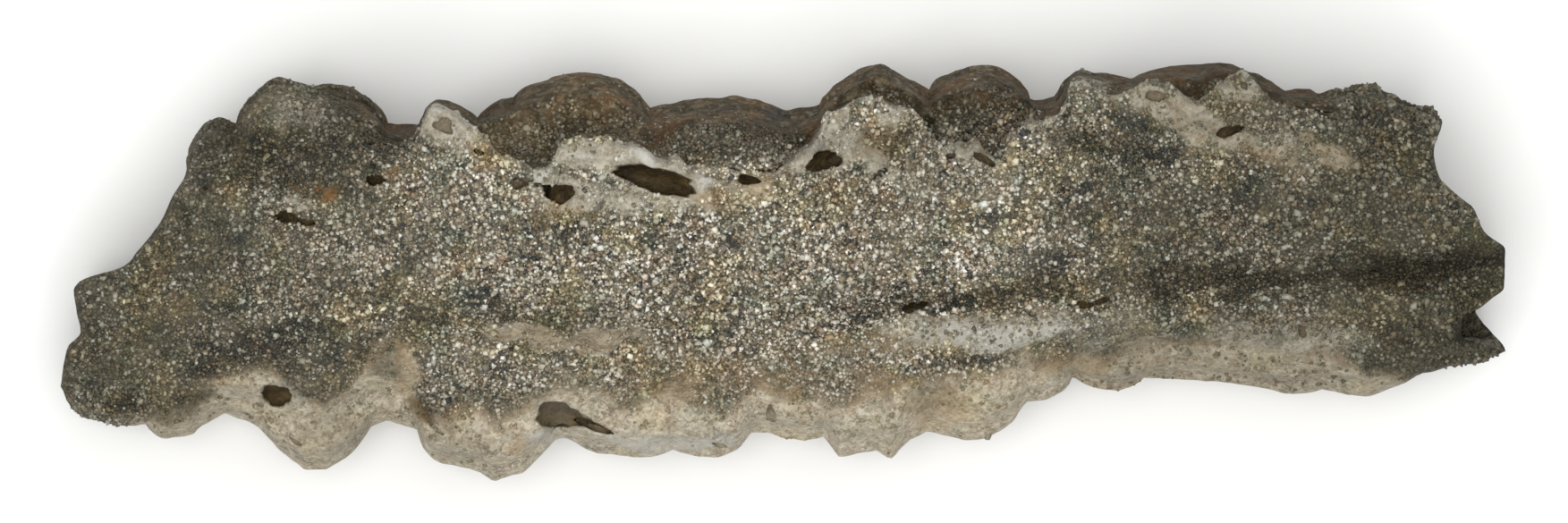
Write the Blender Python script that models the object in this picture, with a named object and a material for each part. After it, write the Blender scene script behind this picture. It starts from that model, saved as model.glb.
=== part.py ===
"""A fulgurite: a hollow tube of sand fused by lightning, lying on its flatter side.

The tube runs along X. Its wall is drawn out into a lobed wing along each side, and a jagged
crest runs along the top, ahead of the far wing. Seen from above, the outline is a row of
lobes and notches. A flattened bore runs from one broken end to the other.

Every section across X is a closed smooth curve through the same set of guide points. Each
guide's place across (y) and up (z) is a function of x, built from six named lines: the two
outlines, the valley, the crest, and the heights of the tube and of the step behind the crest.
"""

import math

import bmesh
import bpy
import numpy as np
from mathutils import Matrix

MM = 0.001

LENGTH = 110 * MM
CREST_HEIGHT = 19.6 * MM
WING_HEIGHT = 6.4 * MM
FAR_WING_HEIGHT = 8.0 * MM
UNDERSIDE_CLEARANCE = 0.9 * MM
FAR_DOME = 1.3 * MM
NEAR_DOME = 0.9 * MM

BORE_LEFT_HALF_WIDTH = 3.8 * MM
BORE_RIGHT_HALF_WIDTH = 3.15 * MM
BORE_HALF_HEIGHT = 3.2 * MM
BORE_SQUARENESS = 0.8
BORE_CENTRE_HEIGHT = 6.2 * MM
BORE_SWELL = 0.025
BORE_LEFT_Y = -3.0 * MM
BORE_RIGHT_Y = -2.0 * MM

STATION_GAP = 1.85 * MM
CLOSEST_STATIONS = 1.0 * MM
SAMPLES_PER_GUIDE = 2
BORE_STATIONS = 11

# Each outline runs from left to right: x, distance from the middle line, and the roundness of
# the stretch that follows (1 is straight, 2 a quarter ellipse that is steep at the notch).
FAR_OUTLINE = (
    (-45.5, 8.9, 1.5),
    (-42.7, 11.7, 1.5),
    (-41.7, 11.3, 1.5),
    (-38.3, 14.75, 1.0),
    (-35.9, 14.0, 1.3),
    (-34.8, 14.3, 1.9),
    (-30.2, 11.3, 1.0),
    (-27.7, 11.2, 1.6),
    (-26.3, 13.0, 1.4),
    (-23.3, 11.6, 1.7),
    (-20.6, 13.3, 1.5),
    (-17.9, 14.5, 1.6),
    (-14.2, 15.15, 1.45),
    (-10.3, 12.3, 1.6),
    (-3.5, 13.35, 1.0),
    (0.3, 12.25, 1.2),
    (2.7, 12.6, 1.35),
    (7.4, 15.85, 1.05),
    (11.1, 13.75, 1.8),
    (15.5, 15.7, 1.5),
    (18.8, 13.2, 1.0),
    (19.8, 12.95, 1.0),
    (20.7, 13.4, 1.25),
    (22.3, 15.3, 1.3),
    (26.4, 14.6, 1.2),
    (30.3, 15.75, 1.0),
    (32.6, 15.95, 1.2),
    (38.0, 13.85, 1.0),
    (40.0, 13.9, 1.0),
    (40.6, 13.5, 1.2),
    (44.9, 14.3, 1.0),
    (46.6, 13.2, 1.0),
    (49.7, 12.2, 1.0),
)
NEAR_OUTLINE = (
    (-55.0, 8.9, 1.9), (-50.3, 11.75, 1.0), (-48.7, 11.6, 1.3), (-47.3, 12.8, 1.0), (-45.0, 12.4, 0.85),
    (-42.6, 10.8, 0.85), (-40.4, 11.6, 1.0), (-38.6, 13.4, 1.0), (-36.5, 15.15, 1.0), (-34.9, 15.15, 1.0),
    (-32.8, 13.7, 1.0), (-31.4, 11.8, 1.2), (-30.2, 11.4, 1.0), (-27.9, 12.1, 1.7), (-25.5, 14.7, 1.0),
    (-23.1, 15.3, 1.0), (-22.1, 15.95, 1.0), (-20.9, 15.5, 1.0), (-20.0, 15.3, 1.0), (-18.7, 14.2, 1.0),
    (-17.3, 12.75, 1.2), (-16.6, 12.65, 0.95), (-14.3, 13.8, 1.3), (-11.0, 14.2, 1.6), (-8.4, 13.45, 1.6),
    (-5.2, 14.15, 1.2), (-3.5, 13.5, 1.0), (-2.4, 12.25, 1.0), (-1.3, 12.3, 1.1), (1.5, 12.9, 1.2),
    (3.1, 12.45, 1.1), (4.2, 14.1, 1.1), (7.0, 13.6, 1.0), (8.1, 14.25, 1.1), (9.6, 12.8, 1.1),
    (10.8, 12.2, 0.9), (13.7, 12.9, 1.3), (15.4, 12.6, 1.2), (17.5, 11.35, 1.1), (18.4, 9.9, 2.0),
    (22.0, 7.8, 1.5), (25.1, 9.1, 1.5), (27.4, 8.05, 1.2), (34.3, 8.4, 1.0), (38.7, 9.35, 1.2),
    (41.0, 9.0, 1.2), (44.2, 9.5, 1.2), (48.6, 7.7, 1.0), (52.7, 6.95, 1.0), (55.0, 6.0, 1.0),
)

# The jagged edge of the crest (x, y), and how far the surface steps down behind it (x, step).
CREST_LINE = (
    (-50, 5.0), (-44, 7.2), (-36, 9.3), (-29.5, 9.4), (-27.7, 10.2), (-26.4, 12.6),
    (-23.5, 11.0), (-22.4, 9.4), (-21, 8.1), (-17.8, 7.8), (-16.6, 9.4), (-12.2, 10.1),
    (-10.3, 9.3), (-6, 7.8), (-0.6, 7.4), (0.8, 8.5), (2, 9.8), (4, 12), (6.2, 12.9),
    (9.6, 12.1), (11.2, 9.8), (14.2, 9.9), (16.3, 8.6), (18.2, 11.2), (20.8, 12.0),
    (21.8, 14.2), (24.8, 13.2), (27.6, 14.1), (30.9, 12.8), (32.6, 14.4), (34.6, 14.6),
    (36, 13.1), (39, 12.1), (50, 10.6),
)
CREST_STEP = (
    (-55, 0.6), (-36, 0.6), (-30.5, 1.0), (-28.2, 4.0), (-24, 4.6), (-20.5, 3.4), (-16, 5.4),
    (-10, 5.0), (-6, 2.2), (-2, 1.4), (2, 4.4), (8, 5.6), (12, 3.4), (16, 2.6), (20, 4.2),
    (24, 2.2), (30, 3.0), (34, 3.6), (38, 1.2), (55, 0.6),
)
VALLEY_LINE = (
    (-55, -4.4), (-46, -5.4), (-36, -5.6), (-29, -4.0), (-22, -3.6), (-14, -3.9), (-6, -3.2), (2, -3.0),
    (10, -1.6), (18, -2.0), (26, -0.6), (34, -0.3), (42, 0.6), (48, 0.4), (55, 0.5),
)
VALLEY_DEPTH = (
    (-55, 0.3), (-45, 0.7), (-38, 1.6), (-31, 0.6), (-26, 1.2), (-18, 1.9), (-10, 0.9), (-5, 0.5), (2, 1.5),
    (8, 1.9), (14, 1.0), (20, 1.5), (27, 0.7), (34, 1.5), (43, 2.6), (50, 2.0), (55, 0.6),
)
TUBE_TAPER = (
    (-55, 0.78), (-47, 0.85), (-36, 0.95), (-16, 1.0), (8, 1.0), (30, 0.97), (45, 0.92), (55, 0.88),
)

# Where the broken ends lie: (y, x) for the upper wall, and for the lower wall of the right end.
LEFT_END = (
    (-8.9, -55.0), (-7.2, -54.6), (-5.7, -54.3), (-4.6, -53.3), (-3.1, -53.6), (-1.4, -53.8),
    (-0.7, -53.3), (-0.1, -51.6), (0.4, -50.0), (1.6, -48.8), (3.7, -47.1), (5.6, -46.1),
    (7.6, -45.1), (8.9, -45.3),
)
RIGHT_END = (
    (-6.9, 54.2), (-6.1, 54.6), (-5.5, 53.0), (-4.9, 51.5), (-3.5, 51.4), (-2.7, 52.8), (-2.1, 53.5),
    (-1.2, 54.5), (1.6, 54.6), (3.0, 53.0), (4.8, 52.1), (5.6, 51.1), (7.2, 49.4), (9.0, 49.0), (11.3, 49.7),
)
RIGHT_END_BELOW = (
    (-7.0, 54.0), (-6.0, 55.0), (-4.6, 54.1), (-2.9, 52.9), (-2.1, 53.4), (-1.2, 54.3), (1.6, 54.4),
    (3.0, 52.8), (5.6, 50.9), (7.2, 49.3), (9.0, 48.9), (11.3, 49.6),
)
END_ZONES = (-20 * MM, 25 * MM)

# What the tube rests on: x, y and reach of each low lump of the underside.
RESTS = ((-41, -5.5, 4.6), (-35, 6.5, 5.0), (-7, 7.5, 4.4), (3, -6.5, 4.6), (37, 7.0, 5.0), (42, -3.5, 4.2))
REST_DEPTH = 2.2 * MM

# Gas holes: x, y, length, width, turn in degrees and depth, all seen from above.
GAS_HOLES = (
    (-9.8, 6.9, 6.2, 1.9, -12, 4.0),
    (-17.0, 6.0, 2.3, 1.6, 5, 3.0),
    (-19.4, 6.7, 1.7, 1.1, 0, 1.6),
    (-2.6, 6.9, 1.7, 1.0, -8, 2.4),
    (2.8, 8.2, 3.0, 1.6, 28, 3.2),
    (7.3, 7.3, 1.4, 0.8, 35, 2.0),
    (14.7, 8.5, 1.9, 0.8, -30, 2.0),
    (-25.4, 11.0, 1.5, 1.0, -25, 1.8),
    (-30.8, 6.9, 1.8, 0.8, 6, 2.2),
    (-36.9, 4.0, 3.2, 0.9, 0, 2.4),
    (-38.4, -9.3, 2.5, 1.6, -10, 2.2),
    (-16.2, -11.1, 6.0, 2.2, -14, 1.6),
    (9.8, -2.7, 2.1, 0.9, 12, 2.2),
    (23.3, -2.4, 2.6, 0.7, 10, 1.8),
    (33.5, 10.6, 2.1, 1.0, 12, 2.2),
    (27.8, 13.2, 1.7, 0.9, 0, 1.4),
)
HOLE_SIDES = 8
HOLE_FLOOR = 0.55

# Lumps of the surface: size and height in mm, and the seed of each pattern.
LUMP_WAVES = ((9.0, 1.5, 3), (4.4, 0.85, 5))
UNDERSIDE_LUMPS = 0.7
CALM_END = 4 * MM

# The broken ends: how far in their edges are worn, how much lower they are, and how rough the break is.
WORN_REACH = 2.4 * MM
WORN_DROP = 0.16
BREAK_ROUGHNESS = 1.2 * MM
COLOUR = (0.36, 0.31, 0.24, 1.0)
ROUGHNESS = 0.85


def clear_scene():
    for old in list(bpy.data.objects):
        bpy.data.objects.remove(old, do_unlink=True)


def along(x, knots):
    """Smooth line through (place, value) knots in millimetres: cubic, with no overshoot."""
    at = np.array([k[0] for k in knots], float) * MM
    value = np.array([k[1] for k in knots], float)
    x = np.clip(x, at[0], at[-1])
    i = np.clip(np.searchsorted(at, x, side="right") - 1, 0, len(at) - 2)
    t = (x - at[i]) / (at[i + 1] - at[i])
    slope = np.diff(value) / np.diff(at)
    before = np.concatenate([slope[:1], slope])
    after = np.concatenate([slope, slope[-1:]])
    same_way = before * after > 0
    tangent = np.where(same_way, 2 * before * after / np.where(same_way, before + after, 1), 0)
    width = at[i + 1] - at[i]
    return (
        value[i] * (1 + 2 * t) * (1 - t) ** 2
        + value[i + 1] * t**2 * (3 - 2 * t)
        + tangent[i] * width * t * (1 - t) ** 2
        + tangent[i + 1] * width * t**2 * (t - 1)
    )


def scalloped(x, outline):
    """Outline of lobes: each stretch rises from its notch to its tip as a rounded quarter."""
    at = np.array([p[0] for p in outline], float) * MM
    reach = np.array([p[1] for p in outline], float) * MM
    roundness = np.array([p[2] for p in outline], float)
    x = np.clip(x, at[0], at[-1])
    i = np.clip(np.searchsorted(at, x, side="right") - 1, 0, len(at) - 2)
    t = (x - at[i]) / (at[i + 1] - at[i])
    rising = reach[i + 1] >= reach[i]
    low = np.where(rising, reach[i], reach[i + 1])
    high = np.where(rising, reach[i + 1], reach[i])
    from_notch = np.where(rising, t, 1 - t)
    n = roundness[i]
    return low + (high - low) * (1 - (1 - from_notch) ** n) ** (1 / n)


def lumps(points, size, seed):
    """Value noise from -1 to 1: random values on a lattice of this size, joined smoothly."""
    cells = 24
    lattice = np.random.default_rng(seed).uniform(-1, 1, (cells, cells, cells))
    place = points / (size * MM) + cells / 2
    base = np.floor(place).astype(int)
    t = place - base
    t = t * t * (3 - 2 * t)
    total = np.zeros(points.shape[:-1])
    for corner in np.ndindex(2, 2, 2):
        i, j, k = (np.mod(base[..., a] + corner[a], cells) for a in range(3))
        weight = np.prod([t[..., a] if corner[a] else 1 - t[..., a] for a in range(3)], axis=0)
        total += weight * lattice[i, j, k]
    return total


def guides(x):
    """(y, z) of every guide of the section at x, in order: near wing, over the top, far wing, underside."""
    near = -scalloped(x, NEAR_OUTLINE)
    far = scalloped(x, FAR_OUTLINE)
    valley = along(x, VALLEY_LINE) * MM
    crest = np.minimum(along(x, CREST_LINE) * MM, far - 0.35 * MM)
    taper = along(x, TUBE_TAPER)
    step = along(x, CREST_STEP) * MM
    dip = along(x, VALLEY_DEPTH) * MM

    tip = WING_HEIGHT * (0.6 + 0.4 * taper)
    far_tip = FAR_WING_HEIGHT * (0.6 + 0.4 * taper)
    top = CREST_HEIGHT * taper
    ridge = 0.77 * top
    shelf = top - step - 0.3 * MM
    hollow = near + 0.62 * (valley - 3.0 * MM - near)
    low = UNDERSIDE_CLEARANCE
    lip = np.minimum(0.7 * MM, 0.45 * step)
    shoulder = np.minimum(0.8 * MM, 0.3 * (far - crest))
    roomy = np.clip((far - crest) / (2.5 * MM), 0, 1)
    far_dome = FAR_DOME * roomy * np.clip((far - 12.0 * MM) / (3.6 * MM), 0, 1)
    near_dome = NEAR_DOME * np.clip((-near - 11.0 * MM) / (4.6 * MM), 0, 1)

    return (
        (near, tip),
        (near + 0.9 * MM, tip + 2.0 * MM + 0.6 * near_dome),
        (0.6 * near + 0.4 * hollow, tip + 0.45 * (ridge - tip) + near_dome),
        (hollow, tip + 0.66 * (ridge - tip)),
        (valley - 2.9 * MM, ridge),
        (valley - 1.3 * MM, ridge - 0.5 * dip),
        (valley, ridge - dip),
        (valley + 1.3 * MM, ridge - 0.3 * dip),
        (0.55 * valley + 0.45 * crest, 0.88 * top),
        (0.25 * valley + 0.75 * crest, 0.95 * top),
        (crest - 0.9 * MM, top),
        (crest, top - lip),
        (crest + 0.25 * shoulder, top - 0.7 * step - 0.55 * lip),
        (0.8 * crest + 0.2 * far, shelf),
        (0.4 * crest + 0.6 * far, 0.62 * shelf + 0.38 * far_tip + 0.9 * MM + far_dome),
        (far - shoulder, far_tip + 2.1 * MM + far_dome),
        (far, far_tip),
        (far - 1.6 * MM, far_tip - 2.6 * MM),
        (0.72 * far, low + 1.6 * MM),
        (0.36 * far, low),
        (0.3 * near, low),
        (0.66 * near, low + 0.9 * MM),
        (near + 1.3 * MM, tip - 2.6 * MM),
    )


GUIDES = 23
BORE_ANGLES = (
    (0, 180), (2, 155), (4, 125), (6, 95), (8, 74), (10, 52), (11, 44), (13, 30), (16, 8), (18, -25),
    (19, -60), (20, -115), (21, -150), (23, -180),
)
UPPER_GUIDES = (0.0, 16.0)


def guide_weights(place):
    """Share of each guide at each place round the section: a closed Catmull-Rom curve."""
    base = np.floor(place).astype(int)
    t = place - base
    share = np.zeros((GUIDES, len(place)))
    parts = (
        -0.5 * t + t**2 - 0.5 * t**3,
        1 - 2.5 * t**2 + 1.5 * t**3,
        0.5 * t + 2 * t**2 - 1.5 * t**3,
        -0.5 * t**2 + 0.5 * t**3,
    )
    for offset, part in zip((-1, 0, 1, 2), parts):
        np.add.at(share, (np.mod(base + offset, GUIDES), np.arange(len(place))), part)
    return share


def section(x, share):
    """(y, z) on the smooth curve through the guides, at each x."""
    pairs = guides(x)
    y = sum(share[g] * pairs[g][0] for g in range(GUIDES))
    z = sum(share[g] * pairs[g][1] for g in range(GUIDES))
    return y, z


def end_of(y, below, right):
    """x of the broken end at this y. The lower wall of the right end breaks off along its own line."""
    if not right:
        return along(y, LEFT_END) * MM
    upper = along(y, RIGHT_END) * MM
    lower = along(y, RIGHT_END_BELOW) * MM
    return upper + (lower - upper) * below


def outer_surface(stations, place):
    """Points of the outside: a row for each station along the tube, a column for each place round it."""
    share = guide_weights(place)
    below = np.where((place > UPPER_GUIDES[0]) & (place < UPPER_GUIDES[1]), 0.0, 1.0)
    ends = []
    for right in (False, True):
        x = np.full(len(place), LENGTH * (0.45 if right else -0.45))
        for _ in range(12):
            y = section(x, share)[0]
            x = 0.5 * x + 0.5 * end_of(y, below, right)
        ends.append(x)
    s = stations[:, None]
    inner_left, inner_right = END_ZONES
    left = ends[0] + (s + LENGTH / 2) / (inner_left + LENGTH / 2) * (inner_left - ends[0])
    right = ends[1] + (LENGTH / 2 - s) / (LENGTH / 2 - inner_right) * (inner_right - ends[1])
    x = np.where(s < inner_left, left, np.where(s > inner_right, right, s))
    y, z = section(x, share)
    worn = np.clip(1 - (LENGTH / 2 - np.abs(s)) / WORN_REACH, 0, 1) ** 2
    return np.stack([x, y, z + WORN_DROP * worn * (BORE_CENTRE_HEIGHT - z)], axis=-1)


def grid_normals(points):
    """Unit normals of a grid that closes on itself across its columns."""
    along_x = np.gradient(points, axis=0)
    around = np.roll(points, -1, axis=1) - np.roll(points, 1, axis=1)
    normal = np.cross(along_x, around)
    return normal / np.maximum(np.linalg.norm(normal, axis=-1, keepdims=True), 1e-12)


def lumpy(points, stations):
    """Top and underside raised and sunk by lumps of two sizes, calm at the ends and on steep walls."""
    facing = grid_normals(points)[..., 2]
    swell = sum(height * MM * lumps(points, size, seed) for size, height, seed in LUMP_WAVES)
    from_end = (LENGTH / 2 - np.abs(stations))[:, None]
    share = np.where(facing > 0, 1.0, UNDERSIDE_LUMPS) * np.clip(from_end / CALM_END, 0, 1)
    lifted = points.copy()
    lifted[..., 2] += swell * facing * share
    return lifted


def settled(points):
    """The underside with its low lumps pressed flat on the surface that the tube lies on."""
    x, y, z = points[..., 0], points[..., 1], points[..., 2]
    press = np.zeros_like(z)
    for rest_x, rest_y, reach in RESTS:
        away = np.hypot(x - rest_x * MM, y - rest_y * MM) / (reach * MM)
        press = np.maximum(press, np.clip(1.3 - away, 0, 1))
    under = np.clip((5 * MM - z) / (3 * MM), 0, 1)
    sunk = z - REST_DEPTH * press * under
    return np.stack([x, y, np.maximum(sunk, 0)], axis=-1)


def bore_ring(s, place):
    """Points of the bore's wall at the share s of its length (0 left, 1 right), one for each place."""
    angle = np.radians(np.interp(place, [k[0] for k in BORE_ANGLES], [k[1] for k in BORE_ANGLES]))
    s = np.asarray(s, float)[:, None]
    centre = BORE_LEFT_Y + (BORE_RIGHT_Y - BORE_LEFT_Y) * s
    swell = 1 + BORE_SWELL * (np.sin(17 * s + 2 * angle) + np.sin(31 * s - 3 * angle))
    half_width = BORE_LEFT_HALF_WIDTH + (BORE_RIGHT_HALF_WIDTH - BORE_LEFT_HALF_WIDTH) * s
    across = np.sign(np.cos(angle)) * np.abs(np.cos(angle)) ** BORE_SQUARENESS
    up = np.sign(np.sin(angle)) * np.abs(np.sin(angle)) ** BORE_SQUARENESS
    y = centre + half_width * swell * across
    z = BORE_CENTRE_HEIGHT + BORE_HALF_HEIGHT * swell * up
    below = np.clip(0.5 - 1.2 * up, 0, 1)
    left = end_of(y, below, False)
    right = end_of(y, below, True)
    return np.stack([left + (right - left) * s, y, z], axis=-1)


def broken_ring(first, last, right):
    """The rough middle of a broken end, between the bore's rim and the outer rim and within the end's line."""
    middle = 0.5 * (first + last)
    below = np.clip(0.5 - (middle[:, 2] - BORE_CENTRE_HEIGHT) / BORE_HALF_HEIGHT, 0, 1)
    reach = np.minimum(np.abs(middle[:, 0]), np.abs(end_of(middle[:, 1], below, right)))
    inward = BREAK_ROUGHNESS * (0.5 + 0.5 * lumps(middle, 3.0, 11))
    middle[:, 0] = np.sign(middle[:, 0]) * (reach - inward)
    return middle


def station_places():
    """Where the sections stand: at the outlines' notches and tips, and between those that are far apart."""
    marks = sorted(p[0] * MM for p in FAR_OUTLINE + NEAR_OUTLINE)
    marks = [m for m in marks if abs(m) < LENGTH / 2 - CLOSEST_STATIONS]
    kept = [-LENGTH / 2]
    for mark in marks + [LENGTH / 2]:
        gap = mark - kept[-1]
        if gap < CLOSEST_STATIONS:
            continue
        steps = max(1, math.ceil(gap / STATION_GAP))
        kept += [kept[-1] + gap * (i + 1) / steps for i in range(steps)]
    return np.array(kept)


def tube_mesh():
    """The outside and the bore as one closed grid, joined by the broken ends."""
    place = np.arange(GUIDES * SAMPLES_PER_GUIDE) / SAMPLES_PER_GUIDE
    stations = station_places()
    outside = settled(lumpy(outer_surface(stations, place), stations))
    bore = bore_ring(np.linspace(1, 0, BORE_STATIONS), place)
    right_break = broken_ring(outside[-1], bore[0], True)
    left_break = broken_ring(bore[-1], outside[0], False)
    points = np.concatenate([outside, right_break[None], bore, left_break[None]])
    rows, columns = points.shape[:2]

    shape = bmesh.new()
    verts = [[shape.verts.new(points[i, j]) for j in range(columns)] for i in range(rows)]
    for i in range(rows):
        nxt = (i + 1) % rows
        for j in range(columns):
            k = (j + 1) % columns
            shape.faces.new((verts[i][j], verts[nxt][j], verts[nxt][k], verts[i][k]))
    bmesh.ops.triangulate(shape, faces=shape.faces[:], quad_method="BEAUTY")
    mesh = bpy.data.meshes.new("fulgurite")
    shape.to_mesh(mesh)
    shape.free()
    return mesh


def add_material(obj):
    material = bpy.data.materials.new("fused_sand")
    material.use_nodes = True
    shader = material.node_tree.nodes["Principled BSDF"]
    shader.inputs["Base Color"].default_value = COLOUR
    shader.inputs["Roughness"].default_value = ROUGHNESS
    shader.inputs["Metallic"].default_value = 0.0
    obj.data.materials.append(material)


def surface_height(obj, x, y):
    hit, where, _normal, _face = obj.ray_cast((x, y, 2 * CREST_HEIGHT), (0, 0, -1))
    if not hit:
        raise ValueError(f"no surface under a gas hole at {x:.4f}, {y:.4f}")
    return where.z


def cut_gas_holes(obj):
    """Sinks each gas hole as a tapered oval well, wider at the mouth."""
    for number, (x, y, length, width, turn, depth) in enumerate(GAS_HOLES):
        height = surface_height(obj, x * MM, y * MM)
        above = 2.0 * MM
        well = depth * MM + above
        flare = HOLE_FLOOR + (1 - HOLE_FLOOR) * well / (depth * MM)
        shape = bmesh.new()
        bmesh.ops.create_cone(
            shape, cap_ends=True, segments=HOLE_SIDES, radius1=HOLE_FLOOR, radius2=flare, depth=well
        )
        place = (
            Matrix.Translation((x * MM, y * MM, height + above - well / 2))
            @ Matrix.Rotation(math.radians(turn), 4, "Z")
            @ Matrix.Diagonal((length * MM / 2, width * MM / 2, 1, 1))
        )
        bmesh.ops.transform(shape, matrix=place, verts=shape.verts[:])
        mesh = bpy.data.meshes.new(f"gas_hole_{number:02d}")
        shape.to_mesh(mesh)
        shape.free()
        cutter = bpy.data.objects.new(mesh.name, mesh)
        cutter.hide_render = True
        cutter.display_type = "WIRE"
        bpy.context.collection.objects.link(cutter)
        cut = obj.modifiers.new(mesh.name, "BOOLEAN")
        cut.operation = "DIFFERENCE"
        cut.solver = "EXACT"
        cut.object = cutter


def make_fulgurite():
    obj = bpy.data.objects.new("fulgurite", tube_mesh())
    bpy.context.collection.objects.link(obj)
    add_material(obj)
    cut_gas_holes(obj)
    return obj


clear_scene()
make_fulgurite()
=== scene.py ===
import math

import bpy
import numpy as np
from mathutils import Color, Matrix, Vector


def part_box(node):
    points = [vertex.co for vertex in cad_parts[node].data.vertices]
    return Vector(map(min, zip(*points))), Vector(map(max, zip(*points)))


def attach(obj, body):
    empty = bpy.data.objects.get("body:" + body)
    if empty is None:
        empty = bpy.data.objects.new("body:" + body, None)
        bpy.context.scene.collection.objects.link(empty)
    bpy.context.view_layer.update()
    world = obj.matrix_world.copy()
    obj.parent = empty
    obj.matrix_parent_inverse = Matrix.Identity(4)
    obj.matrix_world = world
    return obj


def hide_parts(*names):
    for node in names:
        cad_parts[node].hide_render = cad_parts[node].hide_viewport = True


bl_info = {
    "name": "Fulgurite",
    "version": (1, 0, 0),
    "blender": (4, 5, 0),
    "location": "3D View > Sidebar > Fulgurite",
    "description": "A hollow tube of sand fused by lightning: glassy skin, sand grains and a plain stage",
    "category": "Object",
}

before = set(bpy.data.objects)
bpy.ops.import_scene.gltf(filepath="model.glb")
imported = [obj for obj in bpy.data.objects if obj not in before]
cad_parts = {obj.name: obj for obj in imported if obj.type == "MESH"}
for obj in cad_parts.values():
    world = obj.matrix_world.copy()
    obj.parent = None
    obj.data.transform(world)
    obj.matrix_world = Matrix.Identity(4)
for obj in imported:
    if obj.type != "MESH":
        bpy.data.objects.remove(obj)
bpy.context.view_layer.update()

# The solid's frame: lengths in metres, tables in millimetres.
MM = 0.001
LENGTH = 110 * MM
CREST_HEIGHT = 19.6 * MM
WING_HEIGHT = 6.4 * MM
FAR_WING_HEIGHT = 8.0 * MM
UNDERSIDE_CLEARANCE = 0.9 * MM
FAR_DOME = 1.3 * MM
NEAR_DOME = 0.9 * MM

BORE_LEFT_HALF_WIDTH = 3.8 * MM
BORE_RIGHT_HALF_WIDTH = 3.15 * MM
BORE_HALF_HEIGHT = 3.2 * MM
BORE_SQUARENESS = 0.8
BORE_CENTRE_HEIGHT = 6.2 * MM
BORE_SWELL = 0.025
BORE_LEFT_Y = -3.0 * MM
BORE_RIGHT_Y = -2.0 * MM

# Each outline runs from left to right: x, distance from the middle line, and the roundness of
# the stretch that follows (1 is straight, 2 a quarter ellipse that is steep at the notch).
FAR_OUTLINE = (
    (-45.5, 8.9, 1.5), (-42.7, 11.7, 1.5), (-41.7, 11.3, 1.5), (-38.3, 14.75, 1), (-35.9, 14, 1.3),
    (-34.8, 14.3, 1.9), (-30.2, 11.3, 1), (-27.7, 11.2, 1.6), (-26.3, 13, 1.4), (-23.3, 11.6, 1.7),
    (-20.6, 13.3, 1.5), (-17.9, 14.5, 1.6), (-14.2, 15.15, 1.45), (-10.3, 12.3, 1.6), (-3.5, 13.35, 1),
    (0.3, 12.25, 1.2), (2.7, 12.6, 1.35), (7.4, 15.85, 1.05), (11.1, 13.75, 1.8), (15.5, 15.7, 1.5),
    (18.8, 13.2, 1), (19.8, 12.95, 1), (20.7, 13.4, 1.25), (22.3, 15.3, 1.3), (26.4, 14.6, 1.2),
    (30.3, 15.75, 1), (32.6, 15.95, 1.2), (38, 13.85, 1), (40, 13.9, 1), (40.6, 13.5, 1.2), (44.9, 14.3, 1),
    (46.6, 13.2, 1), (49.7, 12.2, 1),
)
NEAR_OUTLINE = (
    (-55, 8.9, 1.9), (-50.3, 11.75, 1), (-48.7, 11.6, 1.3), (-47.3, 12.8, 1), (-45, 12.4, 0.85),
    (-42.6, 10.8, 0.85), (-40.4, 11.6, 1), (-38.6, 13.4, 1), (-36.5, 15.15, 1), (-34.9, 15.15, 1),
    (-32.8, 13.7, 1), (-31.4, 11.8, 1.2), (-30.2, 11.4, 1), (-27.9, 12.1, 1.7), (-25.5, 14.7, 1),
    (-23.1, 15.3, 1), (-22.1, 15.95, 1), (-20.9, 15.5, 1), (-20, 15.3, 1), (-18.7, 14.2, 1),
    (-17.3, 12.75, 1.2), (-16.6, 12.65, 0.95), (-14.3, 13.8, 1.3), (-11, 14.2, 1.6), (-8.4, 13.45, 1.6),
    (-5.2, 14.15, 1.2), (-3.5, 13.5, 1), (-2.4, 12.25, 1), (-1.3, 12.3, 1.1), (1.5, 12.9, 1.2),
    (3.1, 12.45, 1.1), (4.2, 14.1, 1.1), (7, 13.6, 1), (8.1, 14.25, 1.1), (9.6, 12.8, 1.1), (10.8, 12.2, 0.9),
    (13.7, 12.9, 1.3), (15.4, 12.6, 1.2), (17.5, 11.35, 1.1), (18.4, 9.9, 2), (22, 7.8, 1.5),
    (25.1, 9.1, 1.5), (27.4, 8.05, 1.2), (34.3, 8.4, 1), (38.7, 9.35, 1.2), (41, 9, 1.2), (44.2, 9.5, 1.2),
    (48.6, 7.7, 1), (52.7, 6.95, 1), (55, 6, 1),
)

# The jagged edge of the crest (x, y), and how far the surface steps down behind it (x, step).
CREST_LINE = (
    (-50, 5), (-44, 7.2), (-36, 9.3), (-29.5, 9.4), (-27.7, 10.2), (-26.4, 12.6), (-23.5, 11), (-22.4, 9.4),
    (-21, 8.1), (-17.8, 7.8), (-16.6, 9.4), (-12.2, 10.1), (-10.3, 9.3), (-6, 7.8), (-0.6, 7.4), (0.8, 8.5),
    (2, 9.8), (4, 12), (6.2, 12.9), (9.6, 12.1), (11.2, 9.8), (14.2, 9.9), (16.3, 8.6), (18.2, 11.2),
    (20.8, 12), (21.8, 14.2), (24.8, 13.2), (27.6, 14.1), (30.9, 12.8), (32.6, 14.4), (34.6, 14.6),
    (36, 13.1), (39, 12.1), (50, 10.6),
)
CREST_STEP = (
    (-55, 0.2), (-36, 0.12), (-31, 0.7), (-28.2, 4), (-24, 4.6), (-20.5, 3.4), (-16, 5.4), (-10, 5),
    (-6, 2.2), (-2, 1.4), (2, 4.4), (8, 5.6), (12, 3.4), (16, 2.6), (20, 4.2), (24, 2.2), (30, 3), (34, 3.6),
    (38, 1.2), (55, 0.6),
)
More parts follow.
